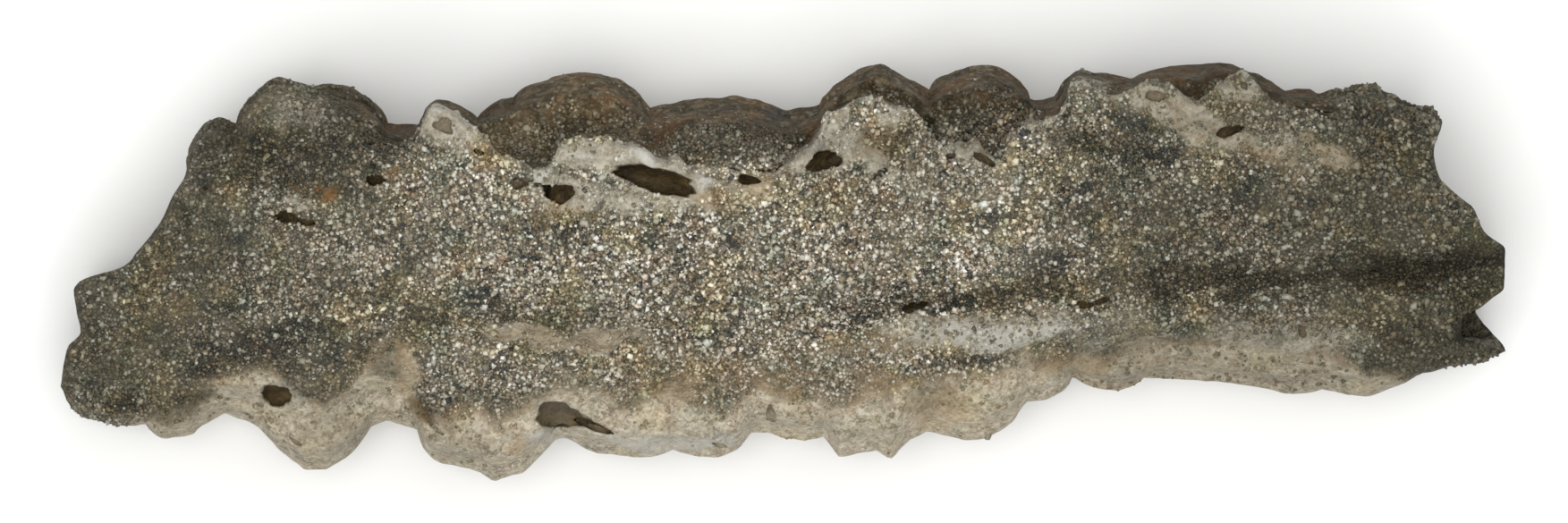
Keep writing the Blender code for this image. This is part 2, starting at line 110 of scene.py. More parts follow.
# The valley in front of the crest (x, y), its depth (x, depth), and the tube's share of its full height.
VALLEY_LINE = (
    (-55, -4.4), (-46, -5.4), (-36, -5.6), (-29, -4), (-22, -3.6), (-14, -3.9), (-6, -3.2), (2, -3),
    (10, -1.6), (18, -2), (26, -0.6), (34, -0.3), (42, 0.6), (48, 0.4), (55, 0.5),
)
VALLEY_DEPTH = (
    (-55, 0.3), (-45, 0.7), (-38, 1.6), (-31, 0.6), (-26, 1.2), (-18, 1.9), (-10, 0.9), (-5, 0.5), (2, 1.5),
    (8, 1.9), (14, 1), (20, 1.5), (27, 0.7), (34, 1.5), (43, 2.6), (50, 2), (55, 0.6),
)
TUBE_TAPER = (
    (-55, 0.78), (-47, 0.85), (-36, 0.95), (-16, 1), (8, 1), (30, 0.97), (45, 0.92), (55, 0.88),
)

# Where the broken ends lie: (y, x) for the upper wall, and for the lower wall of the right end.
LEFT_END = (
    (-8.9, -55), (-7.2, -54.6), (-5.7, -54.3), (-4.6, -53.3), (-3.1, -53.6), (-1.4, -53.8), (-0.7, -53.3),
    (-0.1, -51.6), (0.4, -50), (1.6, -48.8), (3.7, -47.1), (5.6, -46.1), (7.6, -45.1), (8.9, -45.3),
)
RIGHT_END = (
    (-6.9, 54.2), (-6.1, 54.6), (-5.5, 53), (-4.9, 51.5), (-3.5, 51.4), (-2.7, 52.8), (-2.1, 53.5),
    (-1.2, 54.5), (1.6, 54.6), (3, 53), (4.8, 52.1), (5.6, 51.1), (7.2, 49.4), (9, 49), (11.3, 49.7),
)
RIGHT_END_BELOW = (
    (-7, 54), (-6, 55), (-4.6, 54.1), (-2.9, 52.9), (-2.1, 53.4), (-1.2, 54.3), (1.6, 54.4), (3, 52.8),
    (5.6, 50.9), (7.2, 49.3), (9, 48.9), (11.3, 49.6),
)
END_ZONES = (-20 * MM, 25 * MM)
# Worn pads that the tube lies on: x, y and reach.
RESTS = (
    (-41, -5.5, 4.6), (-35, 6.5, 5), (-7, 7.5, 4.4), (3, -6.5, 4.6), (37, 7, 5), (42, -3.5, 4.2),
)
REST_DEPTH = 2.2 * MM
REST_EDGE = 1.3
UNDERSIDE_LUMPS = 0.7
CALM_END = 4 * MM
WORN_REACH = 2.4 * MM
WORN_DROP = 0.16
BREAK_ROUGHNESS = 1.2 * MM
GUIDES = 23
# At which angle round the bore each place round the section lies.
BORE_ANGLES = (
    (0, 180), (2, 155), (4, 125), (6, 95), (8, 74), (10, 52), (11, 44), (13, 30), (16, 8), (18, -25),
    (19, -60), (20, -115), (21, -150), (23, -180),
)
UPPER_GUIDES = (0.0, 16.0)

# How finely the skin is drawn: columns between one guide and the next, and rows along the tube.
COLUMNS_PER_GUIDE = (8, 8, 10, 10, 8, 6, 7, 14, 16, 18, 12, 7, 8, 12, 12, 8, 6, 7, 9, 11, 9, 7, 6)
OUTSIDE_ROWS = 384
BREAK_ROWS = 8
BORE_ROWS = 50

# Relief: size and height in mm, and the seed of each pattern. Fine cells keep a pattern from repeating.
LUMP_WAVES = ((9.0, 1.5, 3), (4.4, 0.85, 5))
FINE_WAVES = ((1.9, 0.26, 21), (0.95, 0.18, 22), (0.5, 0.09, 23))
BREAK_WAVES = ((1.6, 0.35, 31), (0.7, 0.22, 32))
BORE_WAVES = ((3.0, 0.32, 91), (1.3, 0.16, 92), (0.7, 0.07, 93))
JAG_WAVES = ((1.8, 0.3, 44), (0.8, 0.36, 42), (0.4, 0.18, 43))
WARP_WAVES = (((2.4, 0.9, 51), (0.9, 0.35, 60)), ((2.4, 0.9, 52), (0.9, 0.35, 61)))
RAGGED_WAVES = ((2.4, 0.9, 65), (0.9, 0.4, 66))
COARSE_CELLS = 24
FINE_CELLS = 64

# Gas holes, slits and pits, seen from above, in mm: x, y, length, width, turn in degrees, depth, pale
# lip (0 to 1), and how three-cornered the mouth is, with the angle of one corner. Last zeros are left off.
HOLES = (
    (-9.6, 6.9, 6.2, 2.05, -15, 5, 1, 0.05, 180), (-16.9, 5.9, 2.35, 1.6, 0, 3.6, 0.9, 0.12, -90),
    (-18.45, 6.55, 0.55, 0.36, 10, 1.6, 0.3), (-19.75, 6.7, 1.7, 0.95, 14, 1.3, 0.5, 0.12),
    (-2.7, 6.9, 1.7, 0.85, -6, 2.8, 0.5, 0.14), (3, 8.3, 2.9, 1.5, 20, 3.4, 0.9, 0.14, 200),
    (6.85, 7.2, 0.8, 0.4, 15, 1.8, 0.5), (7.4, 7.5, 0.95, 0.65, 35, 2.2, 0.5, 0.1),
    (12.5, 8.7, 0.95, 0.45, 4, 1.4, 0.7), (15, 8.45, 2.2, 0.62, -28, 1.8, 0.9),
    (-25.5, 10.95, 1.6, 1.15, -25, 0.9, 0.5, 0.22, 90), (-22.9, 9, 0.95, 0.45, -22, 1.2, 0.4),
    (-30.7, 6.9, 1.7, 0.8, 4, 2.6, 0.2, 0.1), (-37.4, 4.1, 2, 0.95, -4, 2.8, 0.2, 0.08, 90),
    (-35.9, 3.7, 1.5, 0.6, -10, 2.2, 0.2), (-34, 3.05, 1.3, 0.42, -17, 1, 0.1), (-43.6, 6.3, 0.45, 0.4, 0, 1),
    (-38.4, -9.35, 2.5, 1.65, -12, 3.4, 0.5, 0.08, 150), (-16.9, -10.9, 4.3, 2, -12, 2.2, 0.4, 0.16),
    (-14.5, -11.7, 3.3, 0.7, -20, 1.9, 0.2), (-1, -10.8, 0.8, 1.5, 6, 0.9, 0.2, 0.15, 90),
    (9.8, -2.65, 2.1, 0.75, 16, 2.4, 0.6, 0.08), (18.8, -3.2, 0.72, 0.5, 0, 1.4, 0.2),
    (18, -3.9, 0.45, 0.35, 0, 0.9, 0.1), (22.7, -2.5, 1.5, 0.6, -4, 1.6, 0.5, 0.05),
    (24, -2.2, 1.4, 0.5, 16, 1.6, 0.5, 0.05), (27.9, 13.2, 1.7, 0.85, -10, 0.9, 0.7),
    (33.5, 10.6, 2.25, 0.85, 14, 2.6, 0.5, 0.08), (21, 6.05, 1.05, 0.6, 12, 1.4, 0.1),
    (21.2, 11.8, 0.55, 0.5, 0, 0.9, 0.6), (-19.4, -5.4, 0.42, 0.38, 0, 0.8), (-9.4, -5, 0.42, 0.38, 0, 0.8),
    (-4.7, -10.6, 0.42, 0.4, 0, 0.8), (-36.2, -2.7, 0.42, 0.4, 0, 0.8), (-48.6, -11.3, 0.5, 0.42, 0, 0.8),
    (-42.7, -9.5, 0.45, 0.35, 0, 0.7), (-26.3, -12, 1.5, 0.36, -32, 0.8, 0.1),
    (-37, -12.9, 1.3, 0.36, -32, 0.8, 0.1), (-10.7, -11.7, 1, 0.34, -28, 0.7, 0.1),
    (-4.9, -13.2, 1.4, 0.36, -20, 0.7, 0.1), (39.2, -4.5, 0.6, 1.4, 20, 1.2, 0, 0.1, 90),
)
HOLE_VALUES = 9
HOLE_SHARE = 0.6
WALL_SINK = 0.72
MIDDLE_SINK = 0.28
# How uneven a mouth is: amount, waves round it, and how its place shifts them.
MOUTH_WAVES = ((0.05, 2, 1), (0.05, 5, -2), (0.04, 9, 1), (0.03, 14, 3))
# Pebbles caught in the skin: x, y, width and rise in mm.
PEBBLES = (
    (48.05, 6.6, 0.95, 0.4), (-10.4, -5.2, 0.5, 0.2), (24.6, 3, 0.55, 0.2), (6.6, 1.4, 0.5, 0.2),
)

# Stains, finishes and painted shade of the upper side, in mm: x, y, length, width, turn in degrees and
# strength.
GLAZE_PATCHES = (
    (-25.3, 11.4, 5.4, 4, -20, 0.95), (-12.7, 8.4, 15, 3.2, -9, 1), (-18.6, 7.3, 3.6, 1.4, -4, 0.9),
    (-12.5, 5.4, 14, 1.6, -6, 0.7), (-8.6, 5.9, 8, 1.5, -14, 0.85), (-16.6, 5.4, 4, 2.6, 0, 0.8),
    (3.3, 8.9, 6.6, 3.6, 16, 0.95), (6.6, 8.3, 5.6, 2, -32, 0.85), (9.6, 6.6, 7, 2, -20, 0.45),
    (-2.6, 6.4, 4.6, 2, 0, 0.6), (3.6, 11.4, 3.4, 2, 50, 0.8), (8.6, 11.9, 3.4, 1.6, -20, 0.7),
    (6.4, 10.6, 5, 3, 6, 0.42), (14.2, 8.7, 5, 1.8, -18, 0.9), (22.8, 14.3, 5, 1.7, -6, 0.8),
    (27.9, 13.3, 4.4, 2, -12, 0.85), (34.2, 13.6, 4, 3, 0, 0.72), (30.4, 11.5, 9.5, 3, -30, 0.8),
    (36.4, 9.8, 6, 2.6, -25, 0.62), (40.8, 9.4, 6, 2.2, -14, 0.62), (19.4, 11.4, 5.4, 1, 30, 0.75),
    (-16.2, -5, 14.5, 2.2, -3, 0.74), (15.6, -4.3, 15.5, 3, 3, 0.78), (24.5, -4.4, 9, 3.4, 2, 0.5),
    (38, -4.8, 12.5, 3, -4, 0.62), (9.4, -4, 5, 1.4, 14, 0.7), (-37, -9.3, 1.8, 2.4, 0, 0.6),
    (-17.9, -12.5, 4, 1.3, 10, 0.9), (-36, 5, 2.6, 0.9, -10, 0.7), (-32, 1, 3, 1.5, 20, 0.3),
    (37.6, 8.2, 5, 2.4, -20, 0.5), (16.4, 6.2, 5, 2.4, -30, 0.4), (-9, -12.6, 13, 2.4, 0, 0.65),
    (3, -11.5, 4, 2.2, 0, 0.5), (-34.8, -13.4, 4, 2.4, 0, 0.3), (25.5, -3.6, 5, 1.2, -12, 0.5),
    (7.2, -12.6, 3, 2, 0, 0.45), (-3, -8.2, 15, 1.8, 3, 0.4), (5.6, -6.2, 9, 1.6, 5, 0.45),
    (-24, -5.6, 6, 2, 0, 0.35),
)
CHALK_PATCHES = (
    (-10.4, 8.5, 1.5, 0.7, -30, 0.55), (-15.6, 9.2, 3, 0.7, -10, 0.4), (-18.9, 7.4, 2.4, 0.6, -6, 0.4),
    (48.05, 6.6, 1.1, 1, 0, 1), (7, 12.6, 3.4, 0.7, -6, 0.25), (2, 9.9, 3, 0.6, 30, 0.3),
    (15.6, 8.9, 2.6, 0.5, -30, 0.9), (-26.6, 12.4, 1.6, 0.8, 30, 0.4), (-18.9, -12, 2, 0.8, -20, 0.4),
    (16.8, -4.5, 11, 1.9, 2, 0.46), (34.6, 14.2, 2.4, 0.7, 0, 0.25), (-5.6, 7.2, 1.6, 0.6, -30, 0.5),
    (-8.6, -12.8, 11, 1.5, 0, 0.32),
)
HONEY_PATCHES = (
    (-29.6, 7.2, 1.2, 1.2, 30, 1.2), (-34.1, 5.9, 1.2, 1.1, 0, 1.45), (-36, 6.1, 1.8, 1, 0, 0.8),
    (-5, 5.6, 3.4, 1.8, -20, 0.7), (-16, 4.4, 5, 2, 20, 0.6), (-22.4, 9.2, 2.6, 2.6, 0, 0.8),
    (-27.3, -10.4, 2.4, 2, 0, 0.8), (-28.7, -7.6, 1.4, 5, 8, 0.6), (7.2, 9.8, 2.6, 3, 40, 0.6),
    (30.5, 11.3, 8, 2.6, -30, 0.42), (34.4, 11.4, 4, 3, 0, 0.4), (-16.5, -5, 12, 2, -3, 0.6),
    (-4, -7.4, 18, 3.4, 2, 0.55), (8, -8.4, 8, 2, 0, 0.5), (36.5, 8.6, 6, 2.8, -24, 0.6),
    (41, 9.3, 6, 2.6, -14, 0.65), (31, 10.6, 5, 2, -28, 0.5), (-1.8, 6.8, 2.6, 2, 0, 0.6),
    (6.4, -5.6, 9, 2.2, 0, 0.6), (-20, -13.2, 2.4, 2, 0, 0.6), (12, -10.4, 6, 3, 20, 0.6),
    (4, 5.3, 4.5, 2.4, 0, 0.4), (22, -7, 6, 1.6, 0, 0.7), (-50, -6.5, 5, 3, 0, 0.35),
    (30, -7, 8, 1.4, 0, 0.4), (-33, -11.4, 3, 1.6, 30, 0.4), (18, -8.4, 4, 2.4, 20, 0.35),
)
# Dark patches that hold painted shade in the valley in front of the crest, behind the crest's edge and in the
# right end's notch, and darker stains elsewhere.
SHADE_AND_STAIN_PATCHES = (
    (-34, -12.6, 5.4, 3.4, 0, 0.36), (-24.6, -12.8, 5.6, 2.6, -10, 0.26), (-29.8, -6.9, 2.6, 2.2, 0, 0.8),
    (11.2, -9.9, 4.6, 2.2, 10, 0.6), (-27.2, -10.2, 2.2, 1.8, 0, 0.9), (7.6, 9.8, 3.8, 3, 20, 0.75),
    (34.6, 12.9, 4.4, 2.8, 0, 0.32), (29.8, 12.3, 7, 2.2, -20, 0.12), (-38.4, -5, 14, 1.7, -3, 0.36),
    (-37.5, 7.1, 10, 2.4, -8, 0.75), (30, -7.4, 26, 3, -2, 0.35), (-20.5, -3.3, 17, 1.3, 2, 0.5),
    (3.6, -2.5, 11, 1.4, 5, 0.4), (16.3, -1.7, 13, 1.6, 5, 0.8), (33.5, -0.6, 18, 2.2, 4, 0.85),
    (48.2, 0.4, 14, 2.6, 3, 1), (-5.5, -7.7, 15, 1.6, 2, 0.22), (5.6, -6.6, 6, 1.6, 0, 0.2),
    (14.5, -6.5, 7, 1.4, 8, 0.5), (46.2, -4.6, 4, 3.2, 20, 0.08), (-35.6, 9.3, 15, 3.4, 0, 0.8),
    (-42.8, 9.6, 4, 3, 30, 0.4), (-33, 12, 3.6, 3.4, 0, 0.6), (-3, 9.8, 13, 2.6, 2, 0.75),
    (15, 10, 5, 3.4, 0, 0.8), (16, -4.4, 12, 2.4, 2, 0.22), (15, 12, 8, 3.4, 8, 0.8),
    (52, -4.2, 3.4, 2.6, 0, 0.7), (46.5, 9.4, 9, 4, -30, 0.3), (24, 9.5, 8, 2, -10, 0.5),
    (-46, 1, 9, 5, 30, 0.15), (31, 3.5, 14, 5, 0, 0.25), (-26, 1.5, 10, 2, 20, 0.25),
    (-47.5, -9.4, 9, 3, -8, 0.18), (-30, -1.6, 12, 1.8, -10, 0.3),
)
# Blue-black soot smudges; those in the valley at the left and the thin one along it at x 12 deepen the
# valley's painted shade.
SOOT_AND_SHADE_PATCHES = (
    (-43, -2.5, 2, 1.4, 0, 0.8), (-36, -4.5, 5, 1.1, -5, 0.55), (-33.2, -6.2, 3, 1.2, 10, 0.5),
    (-42, -5.4, 3, 1.2, 10, 0.8), (-27.6, -3.2, 2.4, 1.4, 0, 0.6), (-43.6, -7.4, 2.2, 1.8, 40, 1),
    (-38.9, -5.4, 2.6, 1.6, 0, 0.9), (-23.6, -1.8, 2.6, 1.4, 0, 0.8), (-15.8, 2.7, 2.2, 1.4, 30, 0.65),
    (-14.3, 5.3, 1.1, 0.7, 30, 0.8), (-10, 2.4, 2.6, 1.8, 0, 0.7), (15.2, 3.7, 3.2, 1.6, 20, 1),
    (20, 0.3, 3, 2.4, 0, 0.9), (28.2, 9.1, 1.8, 1.4, 40, 1), (26, 11.2, 2.6, 1.4, 0, 0.9),
    (-1.1, 11.9, 2.2, 2.2, 0, 1), (-22.2, -7.2, 2.6, 2, 20, 0.35), (7.4, -9.9, 2.2, 1.6, 0, 0.9),
    (10.8, -8.6, 2.2, 1.6, 0, 0.9), (-50.5, -10, 3.4, 2.2, 0, 0.6), (45.5, -4.3, 3, 2.2, 0, 0.55),
    (22.4, 6.3, 1.4, 1.2, 0, 1), (-43.8, 7, 1.8, 1.4, 0, 0.8), (-39.5, 9.4, 3.6, 1.8, 0, 0.8),
    (22.6, 4, 3, 1.8, 30, 0.6), (-41, 3.2, 1.6, 1.2, 0, 0.7), (34.5, 5.5, 2.2, 1.4, 0, 0.6),
    (40.5, 5.4, 2, 1.4, 0, 0.6), (17.4, 4.4, 2.6, 1.2, 60, 0.7), (44, 11.6, 2.6, 1.6, 0, 0.6),
    (12.4, -2.6, 4.6, 0.9, 4, 0.8), (-32.8, -9.4, 2, 1, 20, 0.6), (-30.5, -6.6, 2.2, 1, 0, 0.6),
    (17.5, -11.6, 1.6, 0.9, 0, 0.6), (5.6, -3.4, 2.4, 1, 0, 0.7), (-3.4, -5.8, 2, 1.6, 0, 0.7),
    (14.6, -6.6, 2.4, 1.4, 0, 0.9),
)
PALE_LOBES = ((-37.4, 12, 4.6, 3.6, 0, 0.95), (22.5, 14.4, 4.6, 1.8, 0, 0.9))
CROWN = ((-25.9, 12.6, 4.2, 2.6, -10, 1),)

# How far the smooth tan fringe reaches in from the near outline (x, reach in mm).
FRINGE_REACH = (
    (-55, 0), (-50, 0.4), (-47.5, 1.5), (-44, 2.4), (-41.5, 4), (-38, 6.3), (-35, 5), (-32.5, 5.2),
    (-30.4, 5.6), (-28.4, 6.2), (-26.5, 3.2), (-22, 5.2), (-17, 4.4), (-13, 4.6), (-9, 5.2), (-3.5, 3.8),
    (2, 3.6), (5, 4.6), (8, 4.9), (11, 4.2), (14, 4.8), (18, 4.4), (20, 3.2), (22, 2.4), (26, 2.9), (33, 3.2),
    (38, 3.3), (44, 1.8), (49, 0.4), (55, 0),
)
# How far the bare brown of the lobes reaches in from the far outline (x, reach in mm).
LOBE_REACH = (
    (-45, 1.6), (-41, 2.2), (-38.3, 1.5), (-35, 1.8), (-32.5, 3.2), (-30.5, 2.4), (-28.6, 4.5), (-24, 7),
    (-17, 7), (-11.5, 5.6), (-8.5, 3.4), (-3, 2.8), (0.5, 2.6), (3, 3.4), (7, 3.6), (11, 3), (14.5, 3.4),
    (18, 2.2), (20, 1.6), (23, 2.4), (28, 3), (33, 4), (38, 3), (44, 1),
)
# How much darker and greyer the stone gets along the tube (x, share from 0 to 1).
END_SHADE = (
    (-55, 0.72), (-49, 0.67), (-44, 0.54), (-38, 0.4), (-30, 0.26), (-20, 0.05), (-14, 0), (16, 0), (22, 0.3),
    (28, 0.46), (38, 0.54), (42, 0.68), (50, 0.86), (55, 0.9),
)
# How far a film of glass covers the grains along the tube (x, share).
FILM = (
    (-55, 0.65), (-45, 0.56), (-35, 0.4), (-25, 0.22), (-12, 0.08), (18, 0.1), (26, 0.28), (32, 0.46),
    (38, 0.54), (46, 0.7), (55, 0.8),
)

# Values that the skin's and the grains' meshes hold for their materials.
SKIN_FIELDS = (
    "glaze", "fringe", "brown", "honey", "chalk", "dusk", "soot_and_shade", "shade", "film", "hollow", "pit_shadow", "bore",
    "broken",
)
GRAIN_FIELDS = ("tone", "dusk", "shade", "warm", "film", "brown")

# Grains: the places tried, how many of each kind at most, shapes, and each kind's share of the size.
GRAIN_PLACES = 620000
GRAINS_PER_KIND = 16600
GRAIN_TEMPLATES = 12
GRAIN_KINDS = ("pale", "honey", "grey", "dark")
KIND_SIZES = (1.08, 1.0, 0.97, 0.92)
MOST_CUBES = 4000
# How much larger than the smallest a grain may be, and how rare that is.
SIZE_STEPS = ((0.4, 1), (1.1, 5), (1.2, 16))

# Colours as 0 to 255 screen values. A name in a ramp stands for one of the add-on's colour settings.
TONES = {
    "matrix_dark": (94, 90, 76), "matrix_light": (150, 142, 122), "tan_stain": (150, 132, 106),
    "tan_inland": (128, 110, 84), "cream_stain": (150, 139, 118), "chalk": (196, 196, 190),
    # pit_shadow darkens the far wall inside the holes: painted shadow.
    "lobe_red": (102, 72, 44), "lobe_spots": (122, 116, 100), "pit_shadow": (120, 112, 96),
    # dusk is the grey brown multiplied in for painted shade and stains.
    "grain_film": (136, 130, 110), "dusk": (134, 128, 109), "shade": (150, 151, 138),
}
RAMPS = {
    "crust": (
        (0, (62, 58, 50)), (0.16, (86, 80, 68)), (0.36, (112, 104, 88)), (0.6, (134, 120, 98)),
        (0.8, (156, 145, 124)), (0.94, (182, 173, 154)), (1, (204, 198, 184)),
    ),
    "grit": ((0, (98, 86, 64)), (0.3, (146, 134, 110)), (1, (206, 197, 176))),
    "tan": ((0, "fringe_dark"), (0.5, "fringe"), (1, (214, 206, 188))),
    "cream": ((0, (116, 109, 94)), (0.45, "glaze"), (1, (186, 183, 172))),
    "lobe": ((0, (38, 33, 22)), (0.35, (56, 48, 33)), (0.65, "lobe"), (1, (114, 101, 78))),
    "well": ((0, (74, 60, 32)), (0.5, "hole"), (1, (118, 100, 66))),
    "broken": ((0, (58, 54, 44)), (0.5, (100, 94, 80)), (1, (136, 130, 114))),
    # The glass ramp is dark: grey-green glass with painted shade of the inside of the tube.
    "glass": ((0, (36, 35, 26)), (1, (92, 87, 70))),
    "pale": ((0, (164, 157, 139)), (0.5, (190, 184, 168)), (0.85, (214, 210, 198)), (1, (234, 232, 226))),
    "honey": ((0, (110, 98, 76)), (0.4, (134, 121, 98)), (0.75, (156, 143, 122)), (1, (150, 130, 112))),
    "grey": ((0, (92, 89, 80)), (0.5, (120, 116, 104)), (1, (144, 140, 130))),
    "dark": ((0, (42, 45, 47)), (0.4, (58, 62, 64)), (0.7, (70, 69, 62)), (1, (92, 85, 72))),
}
# Hue drift: noise scale per metre, its shift, the noise values where it sets in and is full, and the tint.
DRIFTS = (
    (260, 0, 0.5, 0.66, (1.09, 1.05, 0.9)), (430, 3, 0.52, 0.68, (1.08, 0.99, 0.94)),
    (330, 7, 0.5, 0.66, (0.78, 0.84, 0.82)), (900, 11, 0.52, 0.68, (0.76, 0.77, 0.74)),
    (1100, 17, 0.54, 0.7, (1.22, 1.21, 1.16)),
)
# Mottles of the skin: scale per metre, detail, and the values of the dark and of the light.
MOTTLES = {
    "matrix": (700, 6, 0, 1), "cloud": (260, 5, 0.8, 1.14), "fine": (1500, 7, 0, 1), "wide": (320, 5, 0, 1),
    "clotted": (850, 8, 0, 1), "rubble": (1100, 6, 0.6, 1.35),
}
# How ragged the edges of the finishes are: noise scale per metre, raggedness and softness.
RAGGED_EDGES = {
    "fringe": (1000, 0.9, 0.3), "glaze": (1000, 0.9, 0.22), "brown": (1200, 0.35, 0.2),
    "honey": (900, 0.6, 0.35), "soot_and_shade": (2000, 1.6, 0.25),
}
CRUST_GRAINS = 3300
GRIT_GRAINS = 5600
SPECK_VALUES = (0.84, 1.12)

FLOOR_HALF_WIDTH = 3.0
# Lights: name, place, width and power.
LIGHTS = (("key_light", (-0.1, -0.2, 0.85), 0.7, 7.2), ("fill_light", (0.3, 0.4, 0.7), 0.9, 2.4))
WORLD_STRENGTH = 0.45
SENSOR_WIDTH = 36.0
VIEW_CENTRE_Y = 0.78 * MM
OUTLINE_HEIGHT = 7 * MM


def linear(red, green, blue):
    """Linear values of a colour given as 0 to 255 screen values."""
    return tuple(c / 3294.6 if c <= 10.31 else ((c / 255 + 0.055) / 1.055) ** 2.4 for c in (red, green, blue))


# ---------------------------------------------------------------- the tube's shape


def stretches(x, knots):
    """Places and values of the knots, the stretch that holds each x, and its share of that stretch."""
    at, value = np.array([k[:2] for k in knots], float).T
    at = at * MM
    x = np.clip(x, at[0], at[-1])
    i = np.clip(np.searchsorted(at, x, side="right") - 1, 0, len(at) - 2)
    return at, value, i, (x - at[i]) / (at[i + 1] - at[i])


def along(x, knots):
    """Smooth line through (place, value) knots in millimetres: cubic, with no overshoot."""
    at, value, i, t = stretches(x, knots)
    width = np.diff(at)
    slope = np.diff(value) / width
    before, after = np.concatenate([slope[:1], slope]), np.concatenate([slope, slope[-1:]])
    same_way = before * after > 0
    tangent = np.where(same_way, 2 * before * after / np.where(same_way, before + after, 1), 0)
    return (
        value[i] * (1 + 2 * t) * (1 - t) ** 2
        + value[i + 1] * t**2 * (3 - 2 * t)
        + tangent[i] * width[i] * t * (1 - t) ** 2
        + tangent[i + 1] * width[i] * t**2 * (t - 1)
    )


def scalloped(x, outline):
    """Outline of lobes: each stretch rises from its notch to its tip as a rounded quarter."""
    _at, reach, i, t = stretches(x, outline)
    reach = reach * MM
    low, high = np.minimum(reach[i], reach[i + 1]), np.maximum(reach[i], reach[i + 1])
    to_tip = np.where(reach[i + 1] >= reach[i], 1 - t, 1 - (1 - t))
    n = np.array([p[2] for p in outline], float)[i]
    return low + (high - low) * (1 - to_tip**n) ** (1 / n)


def lumps(points, size, seed, cells=COARSE_CELLS):
    """Value noise from -1 to 1: random values on a lattice of this size, joined smoothly."""
    lattice = np.random.default_rng(seed).uniform(-1, 1, (cells, cells, cells))
    place = points / (size * MM) + cells / 2
    base = np.floor(place).astype(int)
    t = place - base
    t = t * t * (3 - 2 * t)
    total = np.zeros(points.shape[:-1])
    for corner in np.ndindex(2, 2, 2):
        i, j, k = (np.mod(base[..., a] + corner[a], cells) for a in range(3))
        weight = np.prod([t[..., a] if corner[a] else 1 - t[..., a] for a in range(3)], axis=0)
        total += weight * lattice[i, j, k]
    return total


def waves(points, table, cells=FINE_CELLS, unit=MM):
    """Sum of value noises of several sizes: size in mm, height in the unit given, and seed of each."""
    return sum(height * unit * lumps(points, size, seed, cells) for size, height, seed in table)


def guides(x):
    """(y, z) of every guide of the section at x, in order: near wing, over the top, far wing, underside.

    Each is a mix of the outlines, valley and crest lines, moved by its own few tenths of a millimetre.
    """
    near = -scalloped(x, NEAR_OUTLINE)
    far = scalloped(x, FAR_OUTLINE)
    valley = along(x, VALLEY_LINE) * MM
    crest = np.minimum(along(x, CREST_LINE) * MM, far - 0.35 * MM)
    taper = along(x, TUBE_TAPER)
    step = along(x, CREST_STEP) * MM
    dip = along(x, VALLEY_DEPTH) * MM

    tip = WING_HEIGHT * (0.6 + 0.4 * taper)
    far_tip = FAR_WING_HEIGHT * (0.6 + 0.4 * taper)
    top = CREST_HEIGHT * taper
    ridge = 0.77 * top
    shelf = top - step - 0.3 * MM
    hollow = near + 0.62 * (valley - 3.0 * MM - near)
    low = UNDERSIDE_CLEARANCE
    lip = np.minimum(0.7 * MM, 0.45 * step)
    shoulder = np.minimum(0.8 * MM, 0.3 * (far - crest))
    roomy = np.clip((far - crest) / (2.5 * MM), 0, 1)
    far_dome = FAR_DOME * roomy * np.clip((far - 12.0 * MM) / (3.6 * MM), 0, 1)
    near_dome = NEAR_DOME * np.clip((-near - 11.0 * MM) / (4.6 * MM), 0, 1)

    return (
        (near, tip),
        (near + 0.9 * MM, tip + 2.0 * MM + 0.6 * near_dome),
        (0.6 * near + 0.4 * hollow, tip + 0.45 * (ridge - tip) + near_dome),
        (hollow, tip + 0.66 * (ridge - tip)),
        (valley - 2.9 * MM, ridge),
        (valley - 1.3 * MM, ridge - 0.5 * dip),
        (valley, ridge - dip),
        (valley + 1.3 * MM, ridge - 0.3 * dip),
        (0.55 * valley + 0.45 * crest, 0.88 * top),
        (0.25 * valley + 0.75 * crest, 0.95 * top),
        (crest - 0.9 * MM, top),
        (crest, top - lip),
        (crest + 0.25 * shoulder, top - 0.7 * step - 0.55 * lip),
        (0.8 * crest + 0.2 * far, shelf),
        (0.4 * crest + 0.6 * far, 0.62 * shelf + 0.38 * far_tip + 0.9 * MM + far_dome),
        (far - shoulder, far_tip + 2.1 * MM + far_dome),
        (far, far_tip),
        (far - 1.6 * MM, far_tip - 2.6 * MM),
        (0.72 * far, low + 1.6 * MM),
        (0.36 * far, low),
        (0.3 * near, low),
        (0.66 * near, low + 0.9 * MM),
        (near + 1.3 * MM, tip - 2.6 * MM),
    )


def guide_weights(place):
    """Share of each guide at each place round the section: a closed Catmull-Rom curve."""
    base = np.floor(place).astype(int)
    t = place - base
    share = np.zeros((GUIDES, len(place)))
    parts = (
        -0.5 * t + t**2 - 0.5 * t**3,
        1 - 2.5 * t**2 + 1.5 * t**3,
        0.5 * t + 2 * t**2 - 1.5 * t**3,
        -0.5 * t**2 + 0.5 * t**3,
    )
    for offset, part in zip((-1, 0, 1, 2), parts):
        np.add.at(share, (np.mod(base + offset, GUIDES), np.arange(len(place))), part)
    return share


def section(x, share):
    """(y, z) on the smooth curve through the guides, at each x."""
    pairs = guides(x)
    return [sum(share[g] * pairs[g][axis] for g in range(GUIDES)) for axis in (0, 1)]


def end_of(y, below, right):
    """x of the broken end at this y. The lower wall of the right end breaks off along its own line."""
    if not right:
        return along(y, LEFT_END) * MM
    upper, lower = along(y, RIGHT_END) * MM, along(y, RIGHT_END_BELOW) * MM
    return upper + (lower - upper) * below


